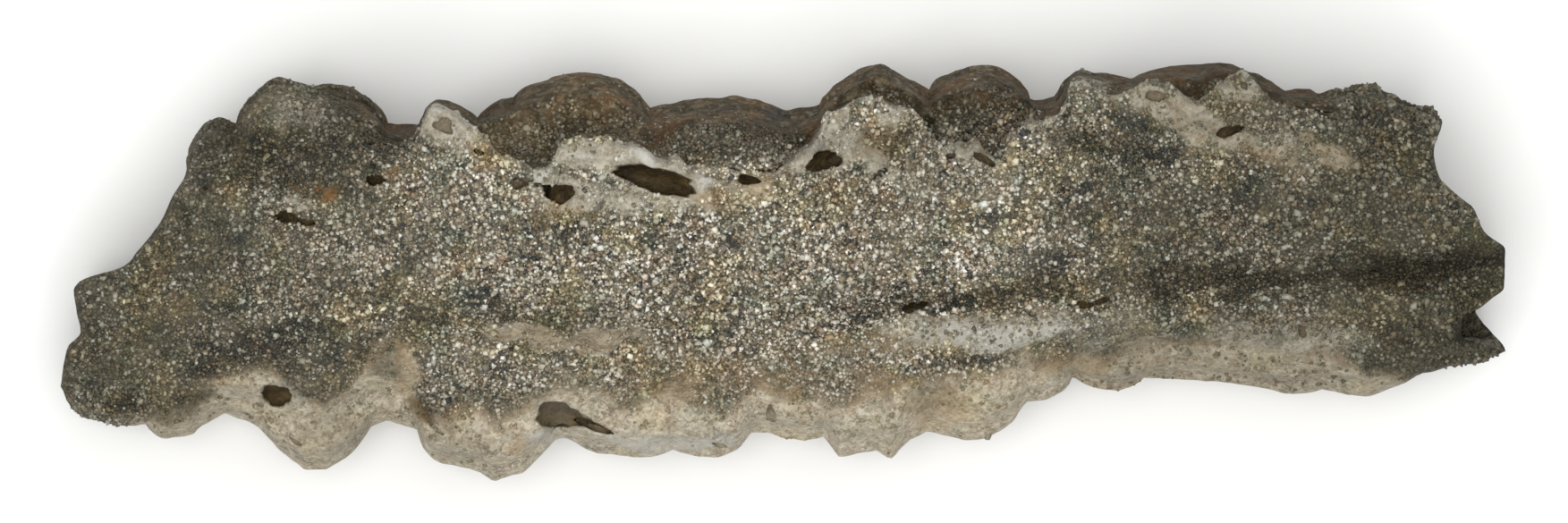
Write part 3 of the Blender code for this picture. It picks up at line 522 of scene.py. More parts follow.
def outer_surface(stations, place):
    """Points of the outside: a row for each station along the tube, a column for each place round it.

    Each column's ends are found by steps of half the way towards the broken end's line.
    """
    share = guide_weights(place)
    below = np.where((place > UPPER_GUIDES[0]) & (place < UPPER_GUIDES[1]), 0.0, 1.0)
    half = LENGTH / 2
    ends = []
    for right in (False, True):
        x = np.full(len(place), LENGTH * (0.45 if right else -0.45))
        for _ in range(12):
            x = 0.5 * x + 0.5 * end_of(section(x, share)[0], below, right)
        ends.append(x)
    s = stations[:, None]
    inner_left, inner_right = END_ZONES
    left = ends[0] + (s + half) / (inner_left + half) * (inner_left - ends[0])
    right = ends[1] + (half - s) / (half - inner_right) * (inner_right - ends[1])
    x = np.where(s < inner_left, left, np.where(s > inner_right, right, s))
    y, z = section(x, share)
    worn = np.clip(1 - (half - np.abs(s)) / WORN_REACH, 0, 1) ** 2
    return np.stack([x, y, z + WORN_DROP * worn * (BORE_CENTRE_HEIGHT - z)], axis=-1)


def grid_normals(points):
    """Unit normals of a grid that closes on itself across its columns."""
    around = np.roll(points, -1, axis=1) - np.roll(points, 1, axis=1)
    normal = np.cross(np.gradient(points, axis=0), around)
    return normal / np.maximum(np.linalg.norm(normal, axis=-1, keepdims=True), 1e-12)


def lumpy(points, stations):
    """Top and underside raised and sunk by lumps of two sizes, calm at the ends and on steep walls."""
    facing = grid_normals(points)[..., 2]
    from_end = (LENGTH / 2 - np.abs(stations))[:, None]
    share = np.where(facing > 0, 1.0, UNDERSIDE_LUMPS) * np.clip(from_end / CALM_END, 0, 1)
    lifted = points.copy()
    lifted[..., 2] += waves(points, LUMP_WAVES, COARSE_CELLS) * facing * share
    return lifted


def settled(points):
    """The underside with its low lumps pressed flat on the surface that the tube lies on."""
    x, y, z = np.moveaxis(points, -1, 0)
    press = np.zeros_like(z)
    for rest_x, rest_y, reach in RESTS:
        away = np.hypot(x - rest_x * MM, y - rest_y * MM) / (reach * MM)
        press = np.maximum(press, np.clip(REST_EDGE - away, 0, 1))
    under = np.clip((5 * MM - z) / (3 * MM), 0, 1)
    return np.stack([x, y, np.maximum(z - REST_DEPTH * press * under, 0)], axis=-1)


def bore_ring(s, place):
    """Points of the bore's wall at the share s of its length (0 left, 1 right), one for each place."""
    angle = np.radians(np.interp(place, *zip(*BORE_ANGLES)))
    s = np.asarray(s, float)[:, None]
    centre = BORE_LEFT_Y + (BORE_RIGHT_Y - BORE_LEFT_Y) * s
    swell = 1 + BORE_SWELL * (np.sin(17 * s + 2 * angle) + np.sin(31 * s - 3 * angle))
    half_width = BORE_LEFT_HALF_WIDTH + (BORE_RIGHT_HALF_WIDTH - BORE_LEFT_HALF_WIDTH) * s
    across, up = (np.sign(v) * np.abs(v) ** BORE_SQUARENESS for v in (np.cos(angle), np.sin(angle)))
    y = centre + half_width * swell * across
    z = BORE_CENTRE_HEIGHT + BORE_HALF_HEIGHT * swell * up
    below = np.clip(0.5 - 1.2 * up, 0, 1)
    left, right = end_of(y, below, False), end_of(y, below, True)
    return np.stack([left + (right - left) * s, y, z], axis=-1)


def rippled(bore):
    """The bore's wall moved in and out from its middle line by noise: ripples and drops of glass."""
    out = bore[..., 1:] - bore[..., 1:].mean(axis=1, keepdims=True)
    out /= np.linalg.norm(out, axis=-1, keepdims=True)
    moved = bore.copy()
    moved[..., 1:] += out * waves(bore, BORE_WAVES)[..., None]
    return moved


def broken_face(first, last, right):
    """Rows of a broken end from one rim to the other, within the end's line, hollowed and crumbly."""
    share = (np.arange(1, BREAK_ROWS + 1) / (BREAK_ROWS + 1))[:, None, None]
    rows = first * (1 - share) + last * share
    middle = 4 * share[..., 0] * (1 - share[..., 0])
    below = np.clip(0.5 - (rows[..., 2] - BORE_CENTRE_HEIGHT) / BORE_HALF_HEIGHT, 0, 1)
    reach = np.minimum(np.abs(rows[..., 0]), np.abs(end_of(rows[..., 1], below, right)))
    hollow = BREAK_ROUGHNESS * (0.5 + 0.5 * lumps(rows, 3.0, 11)) * middle
    crumbs = waves(rows, BREAK_WAVES) * middle
    rows[..., 0] = np.sign(rows[..., 0]) * (reach - np.maximum(hollow + crumbs, 0))
    return rows


def places_round():
    """Places of the skin's columns round the section: each guide's stretch has its own number of them."""
    return np.concatenate([g + np.arange(n) / n for g, n in enumerate(COLUMNS_PER_GUIDE)])


# ---------------------------------------------------------------- finishes, holes and fine relief


def smooth(low, high, value, least=0.0):
    """Least (0 if not given) below low, 1 above high, and an even S between them."""
    t = np.clip((value - low) / (high - low), 0, 1)
    return least + (1 - least) * t * t * (3 - 2 * t)


def oval_place(x, y, middle_x, middle_y, length, width, turn):
    """Where points lie in a turned oval, along and across it, as shares of its half length and half width."""
    c, s = math.cos(math.radians(turn)), math.sin(math.radians(turn))
    dx, dy = x - middle_x * MM, y - middle_y * MM
    return (dx * c + dy * s) / (length * MM / 2), (dy * c - dx * s) / (width * MM / 2)


def patch_field(x, y, table):
    """Strength of the strongest patch at each place: an oval that fades out round its edge."""
    field = np.zeros(x.shape)
    for *oval, strength in table:
        field = np.maximum(field, strength * (1 - smooth(0.6, 1.45, np.hypot(*oval_place(x, y, *oval)))))
    return field


def finish_masks(points, facing, place):
    """Where each finish, stain and painted shade lies on the outside: one field from 0 to 1 for each, by
    place and by patch.

    Fringe, rim and seam are bands of a few millimetres measured in from the outlines. The numbers that
    end a band along the tube are x in mm, and those after place are guides of the section.
    """
    x, y = (points[..., axis] + waves(points, WARP_WAVES[axis]) for axis in (0, 1))
    x_mm = x / MM
    upper = smooth(-0.15, 0.25, facing)
    under = smooth(0.0, -0.4, facing)
    near_reach = -scalloped(x, NEAR_OUTLINE) + along(x, FRINGE_REACH) * MM
    inland = (y - near_reach) / MM
    fringe = smooth(2.1, -1.5, inland) * smooth(-52, -48, x_mm) * smooth(52, 46, x_mm)
    fringe *= np.where((place < 17.5) | (place > 21.4), 1.0, 0.35)
    seam = np.exp(-(((inland - 1.0) / 1.1) ** 2)) * (0.14 + 0.32 * smooth(-20, -30, x_mm))
    seam = seam * smooth(-50, -46, x_mm)
    behind = smooth(11.1, 11.5, place) * smooth(18.6, 17.2, place)
    margin = (scalloped(x, FAR_OUTLINE) - y) / MM
    rim = smooth(1.0, -0.8, margin - along(x, LOBE_REACH) + waves(points, RAGGED_WAVES, unit=1))
    brown = behind * smooth(-46, -42, x_mm) * smooth(44, 38.5, x_mm)
    brown *= rim * smooth(-33, -28, x_mm, 0.6)
    crown = patch_field(x, y, CROWN) * smooth(-0.08, 0.12, facing) * smooth(13.5, 15.5, points[..., 2] / MM)
    pale_lobe = patch_field(x, y, PALE_LOBES) * smooth(0.0, 0.3, facing)
    brown = brown * (1 - 0.85 * pale_lobe) * (1 - crown)
    glaze = patch_field(x, y, GLAZE_PATCHES) * (1 - behind)
    glaze = np.maximum(glaze, np.maximum(0.55 * pale_lobe, crown)) * upper
    edge = smooth(10.1, 10.8, place) * smooth(11.6, 11.2, place)
    edge = edge * smooth(-28, -26, x_mm) * smooth(38, 35, x_mm)
    cloud = lumps(points, 7.0, 61) * 0.5 + 0.5
    film = along(x, FILM) + 0.45 * lumps(points, 2.6, 63, FINE_CELLS) + 0.25 * lumps(points, 6.5, 64)
    return {
        "glaze": np.maximum(glaze, 0.55 * edge),
        "fringe": np.clip(np.maximum(fringe, 0.5 * under * cloud), 0, 1),
        "brown": np.clip(brown, 0, 1),
        "honey": patch_field(x, y, HONEY_PATCHES) * upper,
        "chalk": patch_field(x, y, CHALK_PATCHES) * (1 - behind) * upper,
        # Painted shade and stains: the patches, the dark seam band inland of the fringe, and 0.3 of painted
        # shade on the underside.
        "dusk": np.clip(np.maximum(patch_field(x, y, SHADE_AND_STAIN_PATCHES), seam) * upper + 0.3 * under, 0, 1),
        "soot_and_shade": patch_field(x, y, SOOT_AND_SHADE_PATCHES) * smooth(0.05, 0.4, facing),
        "shade": np.clip(along(x, END_SHADE) + 0.14 * lumps(points, 6.0, 62), 0, 1),
        "film": np.clip(film, 0, 1),
    }


def hole_distance(points, hole):
    """How far each point is from the middle of a hole, as a share of its mouth in that direction."""
    u, v = oval_place(points[..., 0], points[..., 1], *hole[:5])
    angle = np.arctan2(v, u)
    phase = 7.3 * hole[0] + 3.1 * hole[1]
    mouth = 1 + hole[7] * np.cos(3 * (angle - math.radians(hole[8])))
    for amount, count, shift in MOUTH_WAVES:
        mouth += amount * np.sin(count * angle + shift * phase)
    return np.hypot(u, v) / mouth


def beside(flags):
    """Grid places that touch a flagged one on any side or corner."""
    grown = flags.copy()
    for rows, columns in np.ndindex(3, 3):
        grown |= np.roll(flags, (rows - 1, columns - 1), (0, 1))
    return grown & ~flags


def carve_holes(points, facing, place, masks, lip_height):
    """Sinks each hole: the mouth's edge is drawn onto its outline, and what is inside drops by its depth.

    Inside, a point sinks by 0.6 of the depth, times 0.72 at the wall and 1 in the middle. Outside, a low lip
    rises round the mouth and fades out at 1.75 times its size. Then the pebbles' domes rise.
    """
    hollow, lip, pit_shadow = np.zeros((3, *facing.shape))
    carved = points.copy()
    top_side = (facing > -0.2) & (place < 16.4)
    for hole in HOLES:
        hole = (*hole, *[0] * (HOLE_VALUES - len(hole)))
        x, y, _length, width, _turn, depth, lip_share = hole[:7]
        away = np.where(top_side, hole_distance(points, hole), 99.0)
        inside = away < 1
        if not inside.any():
            inside = away <= away.min()
        rim = beside(inside)
        wall = beside(~inside) & inside
        middle = np.array([x * MM, y * MM])
        for flags, at in ((rim, 1.0), (wall, 0.9)):
            pull = (at / np.maximum(away[flags], 0.15))[:, None]
            carved[flags, :2] = middle + (points[flags, :2] - middle) * np.clip(pull, 0.5, 4.0)
        sunk = WALL_SINK + MIDDLE_SINK * (1 - np.clip(away, 0, 1) ** 2) * ~wall
        carved[..., 2] -= np.where(inside, HOLE_SHARE * depth * MM * sunk, 0)
        # Inside a hole the skin takes the well's dark olive, more fully in deeper holes: the glass's own
        # colour with painted shade of the depth.
        hollow = np.maximum(hollow, inside * min(1.0, 0.45 + 0.2 * depth))
        # Painted shadow on the far wall inside each hole, stronger in deeper holes.
        up = (points[..., 1] - y * MM) / (width * MM / 2)
        pit_shadow = np.maximum(pit_shadow, inside * (0.3 + 0.7 * smooth(-0.5, 0.7, up)) * min(1.0, 0.3 + 0.2 * depth))
        lip = np.maximum(lip, lip_share * (smooth(1.75, 1.0, away) * ~inside))
    carved[..., 2] += lip_height * lip * (hollow == 0)
    for x, y, width, rise in PEBBLES:
        away = np.hypot(points[..., 0] - x * MM, points[..., 1] - y * MM) / (width * MM / 2)
        carved[..., 2] += np.where(top_side, rise * MM * np.sqrt(np.clip(1 - away**2, 0, 1)), 0)
    masks["glaze"] = np.maximum(masks["glaze"], lip)
    masks["hollow"], masks["pit_shadow"] = hollow, pit_shadow
    return carved


def jagged_edge(points, place):
    """The crest's back edge moved to and fro across the tube by noise along it, so it breaks unevenly."""
    x = points[..., 0]
    share = smooth(9.2, 10.6, place) * smooth(12.9, 11.7, place)
    share = share * smooth(1.0, 3.4, along(x, CREST_STEP)) * smooth(-24, -22, x / MM)
    moved = points.copy()
    moved[..., 1] += waves(points * (1, 0, 0), JAG_WAVES) * share
    return moved


def fine_relief(points, normals, masks, stations, amount):
    """Small lumps of three sizes pushed along the normals: lower on the glassy and the brown finishes."""
    calm = 1 - 0.6 * np.maximum(masks["fringe"], np.maximum(masks["brown"] * 0.6, masks["glaze"] * 0.15))
    from_end = np.clip((LENGTH / 2 - np.abs(stations)) / (1.5 * MM), 0.25, 1)[:, None]
    under = np.where((points[..., 2] < 0.3 * MM) & (normals[..., 2] < 0), 0.0, 1.0)
    height = waves(points, FINE_WAVES) * calm * from_end * under
    return points + amount * normals * height[..., None]


def skin_surface(sizes):
    """The whole skin as one closed grid: outside rows, right break, bore rows, left break, with its fields.

    Also gives how far each point lies from the far outline (margin) and from the ends (inset).
    """
    place = places_round()
    stations = np.linspace(-LENGTH / 2, LENGTH / 2, OUTSIDE_ROWS)
    outside = settled(lumpy(outer_surface(stations, place), stations))
    outside = jagged_edge(outside, place)
    normals = grid_normals(outside)
    masks = finish_masks(outside, normals[..., 2], place)
    outside = fine_relief(outside, normals, masks, stations, sizes.relief)
    outside = carve_holes(outside, normals[..., 2], place, masks, sizes.lip_height)
    along_bore = 0.5 + 0.5 * np.cos(np.linspace(0, math.pi, BORE_ROWS))
    bore = rippled(bore_ring(along_bore, place))
    right_break = broken_face(outside[-1], bore[0], True)
    left_break = broken_face(bore[-1], outside[0], False)
    points = np.concatenate([outside, right_break, bore, left_break])
    points = np.clip(points, *map(np.array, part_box("fulgurite")))

    fade = np.linspace(1, 0, BREAK_ROWS)[:, None]
    no_bore = np.zeros((BORE_ROWS, len(place)))
    fields = {}
    for name, field in masks.items():
        over = fade * (name not in ("hollow", "pit_shadow"))
        fields[name] = np.concatenate([field, field[-1] * over, no_bore, field[0] * over[::-1]])
    fields["shade"][OUTSIDE_ROWS:] = 0.4
    part = np.repeat((0, 1, 2, 1), (OUTSIDE_ROWS, BREAK_ROWS, BORE_ROWS, BREAK_ROWS))[:, None]
    fields["bore"], fields["broken"] = ((part == number) * np.ones(len(place)) for number in (2, 1))
    fields["margin"] = scalloped(points[..., 0], FAR_OUTLINE) - points[..., 1]
    fields["inset"] = np.zeros(points.shape[:2])
    fields["inset"][:OUTSIDE_ROWS] = (LENGTH / 2 - np.abs(stations))[:, None]
    return points, fields


def new_mesh(name, points, faces, fields, flat):
    """A smooth mesh from whole arrays: points, equal-sided faces, fields on the points and a flat map."""
    mesh = bpy.data.meshes.new(name)
    mesh.vertices.add(len(points))
    mesh.vertices.foreach_set("co", points.astype(np.float32).reshape(-1))
    mesh.loops.add(faces.size)
    mesh.loops.foreach_set("vertex_index", faces.astype(np.int32).reshape(-1))
    mesh.polygons.add(len(faces))
    mesh.polygons.foreach_set("loop_start", np.arange(0, faces.size, faces.shape[1], dtype=np.int32))
    mesh.polygons.foreach_set("use_smooth", np.ones(len(faces), bool))
    mesh.update(calc_edges=True)
    mesh.validate()
    for field_name, field in fields.items():
        layer = mesh.attributes.new(field_name, "FLOAT", "POINT")
        layer.data.foreach_set("value", field.reshape(-1).astype(np.float32))
    mesh.uv_layers.new(name="OFBake").data.foreach_set("uv", flat.astype(np.float32).reshape(-1))
    return mesh


def torus_mesh(name, points, fields):
    """A mesh of four-sided faces on a grid that closes on itself both ways, with a flat map of the grid."""
    rows, columns = points.shape[:2]
    i, j = np.meshgrid(np.arange(rows), np.arange(columns), indexing="ij")
    ni, nj = (i + 1) % rows, (j + 1) % columns
    corners = np.stack([i * columns + j, ni * columns + j, ni * columns + nj, i * columns + nj], axis=-1)
    flat = np.stack([
        np.stack([j, j, j + 1, j + 1], axis=-1) / columns, np.stack([i, i + 1, i + 1, i], axis=-1) / rows,
    ], axis=-1)
    kept = {field: fields[field] for field in SKIN_FIELDS}
    return new_mesh(name, points.reshape(-1, 3), corners.reshape(-1, 4), kept, flat)


# ---------------------------------------------------------------- grains


def grain_templates(count):
    """Worn sand grains: two low six-sided pyramids base to base, with uneven corners and twelve faces."""
    angle = np.arange(6) * math.pi / 3
    ring = np.stack([np.cos(angle), np.sin(angle), 0.25 * np.cos(3 * angle)], axis=-1)
    corners = np.concatenate([ring, [[0, 0, 0.8], [0, 0, -0.8]]])
    side = np.arange(6)
    after = (side + 1) % 6
    top, bottom = np.full(6, 6), np.full(6, 7)
    faces = np.concatenate([np.stack([side, after, top], axis=-1), np.stack([after, side, bottom], axis=-1)])
    jitter = np.random.default_rng(71).uniform(0.78, 1.2, (count, len(corners), 1))
    return corners[None] * jitter, faces


def random_turns(count, rng):
    """Rotation matrices from random unit quaternions."""
    q = rng.normal(size=(count, 4))
    q /= np.linalg.norm(q, axis=1, keepdims=True)
    w, x, y, z = q.T
    return np.stack([
        1 - 2 * (y * y + z * z), 2 * (x * y - z * w), 2 * (x * z + y * w),
        2 * (x * y + z * w), 1 - 2 * (x * x + z * z), 2 * (y * z - x * w),
        2 * (x * z - y * w), 2 * (y * z + x * w), 1 - 2 * (x * x + y * y),
    ], axis=1).reshape(-1, 3, 3)


def scattered(points, fields, gap, rng):
    """Places on the outside, spread evenly: random places by area, thinned to one for each small cube."""
    a, b = points[:OUTSIDE_ROWS - 1], points[1:OUTSIDE_ROWS]
    next_a, next_b = np.roll(a, -1, axis=1), np.roll(b, -1, axis=1)
    cross = np.cross(b - a, next_b - a) + np.cross(next_b - a, next_a - a)
    area = np.linalg.norm(cross, axis=-1).reshape(-1)
    pick = rng.choice(area.size, GRAIN_PLACES, p=area / area.sum())
    s, t = rng.random((2, len(pick), 1))
    a, b, next_b, next_a = (corner.reshape(-1, 3)[pick] for corner in (a, b, next_b, next_a))
    spot = (a * (1 - t) + next_a * t) * (1 - s) + (b * (1 - t) + next_b * t) * s
    normal = cross.reshape(-1, 3)[pick]
    normal /= np.maximum(np.linalg.norm(normal, axis=1, keepdims=True), 1e-15)
    cube = np.floor(spot / gap).astype(np.int64) + MOST_CUBES // 4
    key = (cube[:, 0] * MOST_CUBES + cube[:, 1]) * MOST_CUBES + cube[:, 2]
    first = rng.permutation(np.unique(key, return_index=True)[1])
    values = {name: field[:OUTSIDE_ROWS - 1].reshape(-1)[pick][first] for name, field in fields.items()}
    return spot[first], normal[first], values


def grain_field(points, fields, sizes):
    """Every grain's place, normal, kind, size and tone, chosen from the finish that it lies on.

    Glaze, fringe and brown lobes keep few grains, holes and the ends none, steep walls and the
    underside fewer. Each finish then changes the share of each kind, and size is 1 and over in
    steps that get rarer, with coarser grains towards the right end.
    """
    rng = np.random.default_rng(72)
    spot, normal, here = scattered(points, fields, sizes.grain_gap, rng)
    up = normal[:, 2]
    patchy = lumps(spot, 2.0, 75, FINE_CELLS) + 0.5 * lumps(spot, 5.0, 76)
    inner = smooth(0.8, 3.5, here["margin"] / MM)
    lobe_grains = 0.35 * inner + 0.75 * inner * smooth(-0.1, 0.5, patchy)
    bare = here["glaze"] * 0.84 + 0.8 * here["fringe"] + here["brown"] * (1.0 - lobe_grains)
    bare += 0.3 * here["honey"]
    bare += 1.1 * np.maximum(here["honey"] - 1, 0)
    bare = np.maximum(np.clip(bare, 0, 1), 2 * here["hollow"])
    keep_share = 1 - 0.985 * smooth(0.25, 0.95, bare + 0.2 * lumps(spot, 0.8, 74, FINE_CELLS))
    keep_share[(here["hollow"] > 0.02) | (here["inset"] < 0.4 * MM)] = 0
    keep_share *= np.where(up > 0.1, 1.0, np.where(up > -0.5, 0.5, 0.22))
    keep_share *= (1 - 0.55 * smooth(0.3, 0.9, here["film"])) * smooth(0.05, 0.4, np.abs(up), 0.12)
    keep_share *= 1 - here["fringe"] * smooth(0.6, 0.35, np.abs(up))
    kept = rng.random(len(spot)) < keep_share
    spot, normal = spot[kept], normal[kept]
    here = {name: value[kept] for name, value in here.items()}
    glaze, fringe, brown, honey = (here[name] for name in ("glaze", "fringe", "brown", "honey"))

    cloud = lumps(spot, 3.2, 73, FINE_CELLS)
    # Gloom is painted shade and stains with the darker ends: where it is high, grey and dark grains replace
    # pale ones.
    gloom = np.clip(here["dusk"] * 0.8 + here["shade"] * 0.6, 0, 1)
    cluster = smooth(0.38, 0.62, lumps(spot, 1.3, 77, FINE_CELLS)) * (1 - here["film"])
    clean = np.maximum(fringe, 0.7 * glaze)
    dark = 0.10 + 0.22 * gloom + 1.8 * here["soot_and_shade"] + 0.4 * cluster - 0.08 * cloud + 0.2 * brown
    weights = np.stack([
        0.36 * (1 - 0.6 * gloom) + 0.3 * glaze + 0.06 * cloud,
        0.25 + 0.35 * honey + 0.5 * fringe + 0.25 * brown,
        (0.27 + 0.25 * gloom) * (1 - 0.5 * clean),
        dark * (1 - 0.8 * clean),
    ], axis=1).clip(0.01, None)
    weights /= weights.sum(axis=1, keepdims=True)
    kind = (rng.random((len(spot), 1)) > np.cumsum(weights, axis=1)).sum(axis=1).clip(0, 3)
    size = 1 + sum(extra * rng.random(len(spot)) ** rarity for extra, rarity in SIZE_STEPS)
    size *= 1 + 0.25 * smooth(28, 46, spot[:, 0] / MM)
    size *= sizes.grain_size / 2
    size *= np.array(KIND_SIZES)[kind]
    film = np.clip(0.75 * here["film"] + 0.7 * glaze + 0.7 * fringe + 0.6 * brown, 0, 1)
    return {
        "spot": spot, "normal": normal, "kind": kind, "size": size, "tone": rng.random(len(spot)),
        "film": np.maximum(film, 0.9 * smooth(0.35, 0.05, np.abs(normal[:, 2]))),
        "warm": np.clip(honey + 0.5 * fringe + 0.3 * brown, 0, 1),
        "dusk": here["dusk"], "shade": here["shade"], "brown": brown,
    }


def grains_mesh(number, grains):
    """All grains of one kind in one mesh: turned and stretched templates, half sunk in the skin.

    A grain's middle moves out by up to 0.35 of its size, and back in under a film and on steep walls.
    Its place in the flat map is a cell of a square grid, so that each grain has its own.
    """
    chosen = np.nonzero(grains["kind"] == number)[0][:GRAINS_PER_KIND]
    rng = np.random.default_rng(80 + number)
    templates, faces = grain_templates(GRAIN_TEMPLATES)
    count = len(chosen)
    shapes = templates[rng.integers(0, GRAIN_TEMPLATES, count)] * rng.uniform(0.78, 1.25, (count, 1, 3))
    shapes = np.einsum("nij,nkj->nki", random_turns(count, rng), shapes)
    size, film, normal, spot = (grains[name][chosen] for name in ("size", "film", "normal", "spot"))
    steep = smooth(0.4, 0.1, np.abs(normal[:, 2]))
    lift = rng.uniform(0.0, 0.35, (count, 1, 1)) - (0.35 * film + 0.6 * steep)[:, None, None]
    points = spot[:, None] + size[:, None, None] * (shapes + lift * normal[:, None])
    low, high = map(np.array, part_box("fulgurite"))
    fits = ((points > low) & (points < high)).all(axis=(1, 2))
    points, chosen = points[fits], chosen[fits]
    count, corners = points.shape[:2]

    all_faces = (faces[None] + corners * np.arange(count)[:, None, None]).reshape(-1, 3)
    fields = {name: np.repeat(grains[name][chosen], corners) for name in GRAIN_FIELDS}
    across = math.ceil(math.sqrt(count))
    cell = np.stack([np.arange(count) % across, np.arange(count) // across], axis=1)[:, None]
    spread = 0.5 + 0.36 * templates[0][:, [0, 1]]
    flat = ((cell + spread) / across).reshape(-1, 2)[all_faces.reshape(-1)]
    return new_mesh(GRAIN_KINDS[number] + "_grains", points.reshape(-1, 3), all_faces, fields, flat)


# ---------------------------------------------------------------- materials


class Nodes:
    """A node tree that is written as sums: each call adds a node and gives its output socket.

    Wherever a value is asked for, a socket will do. A colour is a name of TONES or of a colour setting,
    a tuple of screen values, or a Color of linear values.
    """

    def __init__(self, tree, place=None, colours=None):
        self.tree, self.place, self.colours = tree, place, colours

    def rgba(self, colour):
        """Linear red, green, blue and alpha of a colour."""
        if isinstance(colour, str):
            colour = TONES[colour] if colour in TONES else getattr(self.colours, colour)
        return (*(linear(*colour) if isinstance(colour, tuple) else colour), 1.0)

    def join(self, value, socket):
        """Links a value to a socket, or sets it there."""
        if isinstance(value, bpy.types.NodeSocket):
            self.tree.links.new(value, socket)
        else:
            socket.default_value = self.rgba(value) if socket.type == "RGBA" else value

    def put(self, kind, settings=None, **sockets):
        """Adds a node. Sockets are given by name, or as _0, _1 for the first and second."""
        node = self.tree.nodes.new("ShaderNode" + kind)
        for name, value in (settings or {}).items():
            setattr(node, name, value)
        for name, value in sockets.items():
            self.join(value, node.inputs[int(name[1:]) if name[0] == "_" else name.replace("_", " ")])
        return node

    def calc(self, operation, first, second, clamp=False):
        """One sum of two values."""
        return self.put("Math", {"operation": operation, "use_clamp": clamp}, _0=first, _1=second).outputs[0]

    def times(self, first, second):
        """Product of two values."""
        return self.calc("MULTIPLY", first, second)

    def less(self, value, factor, start=1.0):
        """Start less factor times the value."""
        return self.calc("SUBTRACT", start, self.times(value, factor))

    def most(self, first, second):
        """The larger of two values."""
        return self.calc("MAXIMUM", first, second)

    def lay(self, under, over, share, factor=None, way="MIX"):
        """Lays one colour over another, by the share given, times a factor if there is one."""
        share = share if factor is None else self.times(share, factor)
        settings = {"data_type": "RGBA", "blend_type": way}
        return self.put("Mix", settings, _0=share, _6=under, _7=over).outputs[2]

    def shade(self, colour, value, share=1.0):
        """A colour multiplied by a value."""
        grey = self.put("CombineColor", _0=value, _1=value, _2=value).outputs[0]
        return self.lay(colour, grey, share, way="MULTIPLY")

    def ramp(self, share, name):
        """Colour from one of the RAMPS."""
        node = self.put("ValToRGB", _0=share)
        band, stops = node.color_ramp.elements, RAMPS[name]
        while len(band) < len(stops):
            band.new(0.5)
        for element, (place, colour) in zip(band, stops):
            element.position, element.color = place, self.rgba(colour)
        return node.outputs[0]

    def attribute(self, name):
        """A field that the mesh holds."""
        return self.put("Attribute", {"attribute_name": name}).outputs["Fac"]

    def span(self, value, low, high, to_low=0.0, to_high=1.0):
        """Value taken from low and high to two other values, by an even S."""
        numbers = {"Value": value, "From_Min": low, "From_Max": high, "To_Min": to_low, "To_Max": to_high}
        return self.put("MapRange", {"interpolation_type": "SMOOTHSTEP"}, **numbers).outputs[0]

    def noise(self, vector, scale, detail, roughness=0.5, output="Fac"):
        """Noise of this scale per metre."""
        sockets = {"Vector": vector, "Scale": scale, "Detail": detail, "Roughness": roughness}
        return self.put("TexNoise", **sockets).outputs[output]

    def moved(self, vector, by):
        """A vector with another added to it."""
        return self.put("VectorMath", {"operation": "ADD"}, _0=vector, _1=by).outputs[0]

    def wobbled(self, vector, scale, detail, amount):
        """A vector moved to and fro by noise, up to half the amount each way."""
        noise = self.noise(vector, scale, detail, output="Color")
        away = self.put("VectorMath", {"operation": "SUBTRACT"}, _0=noise, _1=(0.5, 0.5, 0.5)).outputs[0]
        away = self.put("VectorMath", {"operation": "SCALE"}, _0=away, Scale=amount).outputs[0]
        return self.moved(vector, away)

    def cells(self, vector, scale, feature="F1"):
        """Distances and random colours of cells of this scale per metre."""
        return self.put("TexVoronoi", {"feature": feature}, Vector=vector, Scale=scale).outputs

    def red(self, colour):
        """The red of a colour: one random value of a cell."""
        return self.put("SeparateColor", _0=colour).outputs[0]

    def use(self, group, **sockets):
        """Places a node group of MAKERS, built on its first use, and gives all its outputs."""
        if group not in bpy.data.node_groups:
            make_group(group)
        return self.put("Group", {"node_tree": bpy.data.node_groups[group]}, **sockets).outputs

    def mottle(self, scale, detail=5, dark=0, light=1):
        """The mottle group on the object's own place."""
        sockets = {"Scale": scale, "Detail": detail, "Dark": dark, "Light": light}
        return self.use("mottle", Vector=self.place, **sockets)["Value"]

    def drift(self, colour, amount=1.0):
        """The hue drift group on the object's own place."""
        return self.use("hue_drift", Vector=self.place, Color=colour, Amount=amount)["Color"]


def sand_pattern(nodes, vector, scale):
    """Packed grains: cells of uneven size, each with its own random value, domed, with gaps between them."""
    moved = nodes.wobbled(vector, nodes.times(scale, 0.8), 1, nodes.calc("DIVIDE", 0.55, scale))
    cells = nodes.cells(moved, scale)
    away = cells["Distance"]
    return nodes.red(cells["Color"]), nodes.span(away, 0.75, 0.1), nodes.span(away, 0.42, 0.72)


def ragged_mask(nodes, vector, mask, scale, raggedness, softness):
    """A soft mask given an uneven edge: noise is added before it is cut off about its middle."""
    centred = nodes.calc("SUBTRACT", nodes.noise(vector, scale, 4, 0.65), 0.5)
    moved = nodes.calc("ADD", mask, nodes.times(centred, raggedness))
    return (nodes.span(moved, nodes.calc("SUBTRACT", 0.5, softness), nodes.calc("ADD", 0.5, softness)),)


def mottle(nodes, vector, scale, detail, dark, light):
    """Cloudy light and dark: a noise value stretched between two given values."""
    return (nodes.span(nodes.noise(vector, scale, detail, 0.6), 0.3, 0.7, dark, light),)


def hue_drift(nodes, vector, colour, amount):
    """Slow changes of hue over the stone: each tint is multiplied in where its own noise is high."""
    for scale, shift, low, high, tint in DRIFTS:
        share = nodes.span(nodes.noise(nodes.moved(vector, (shift, shift, shift)), scale, 3), low, high)
        colour = nodes.lay(colour, Color(tint), share, amount, "MULTIPLY")
    return (colour,)


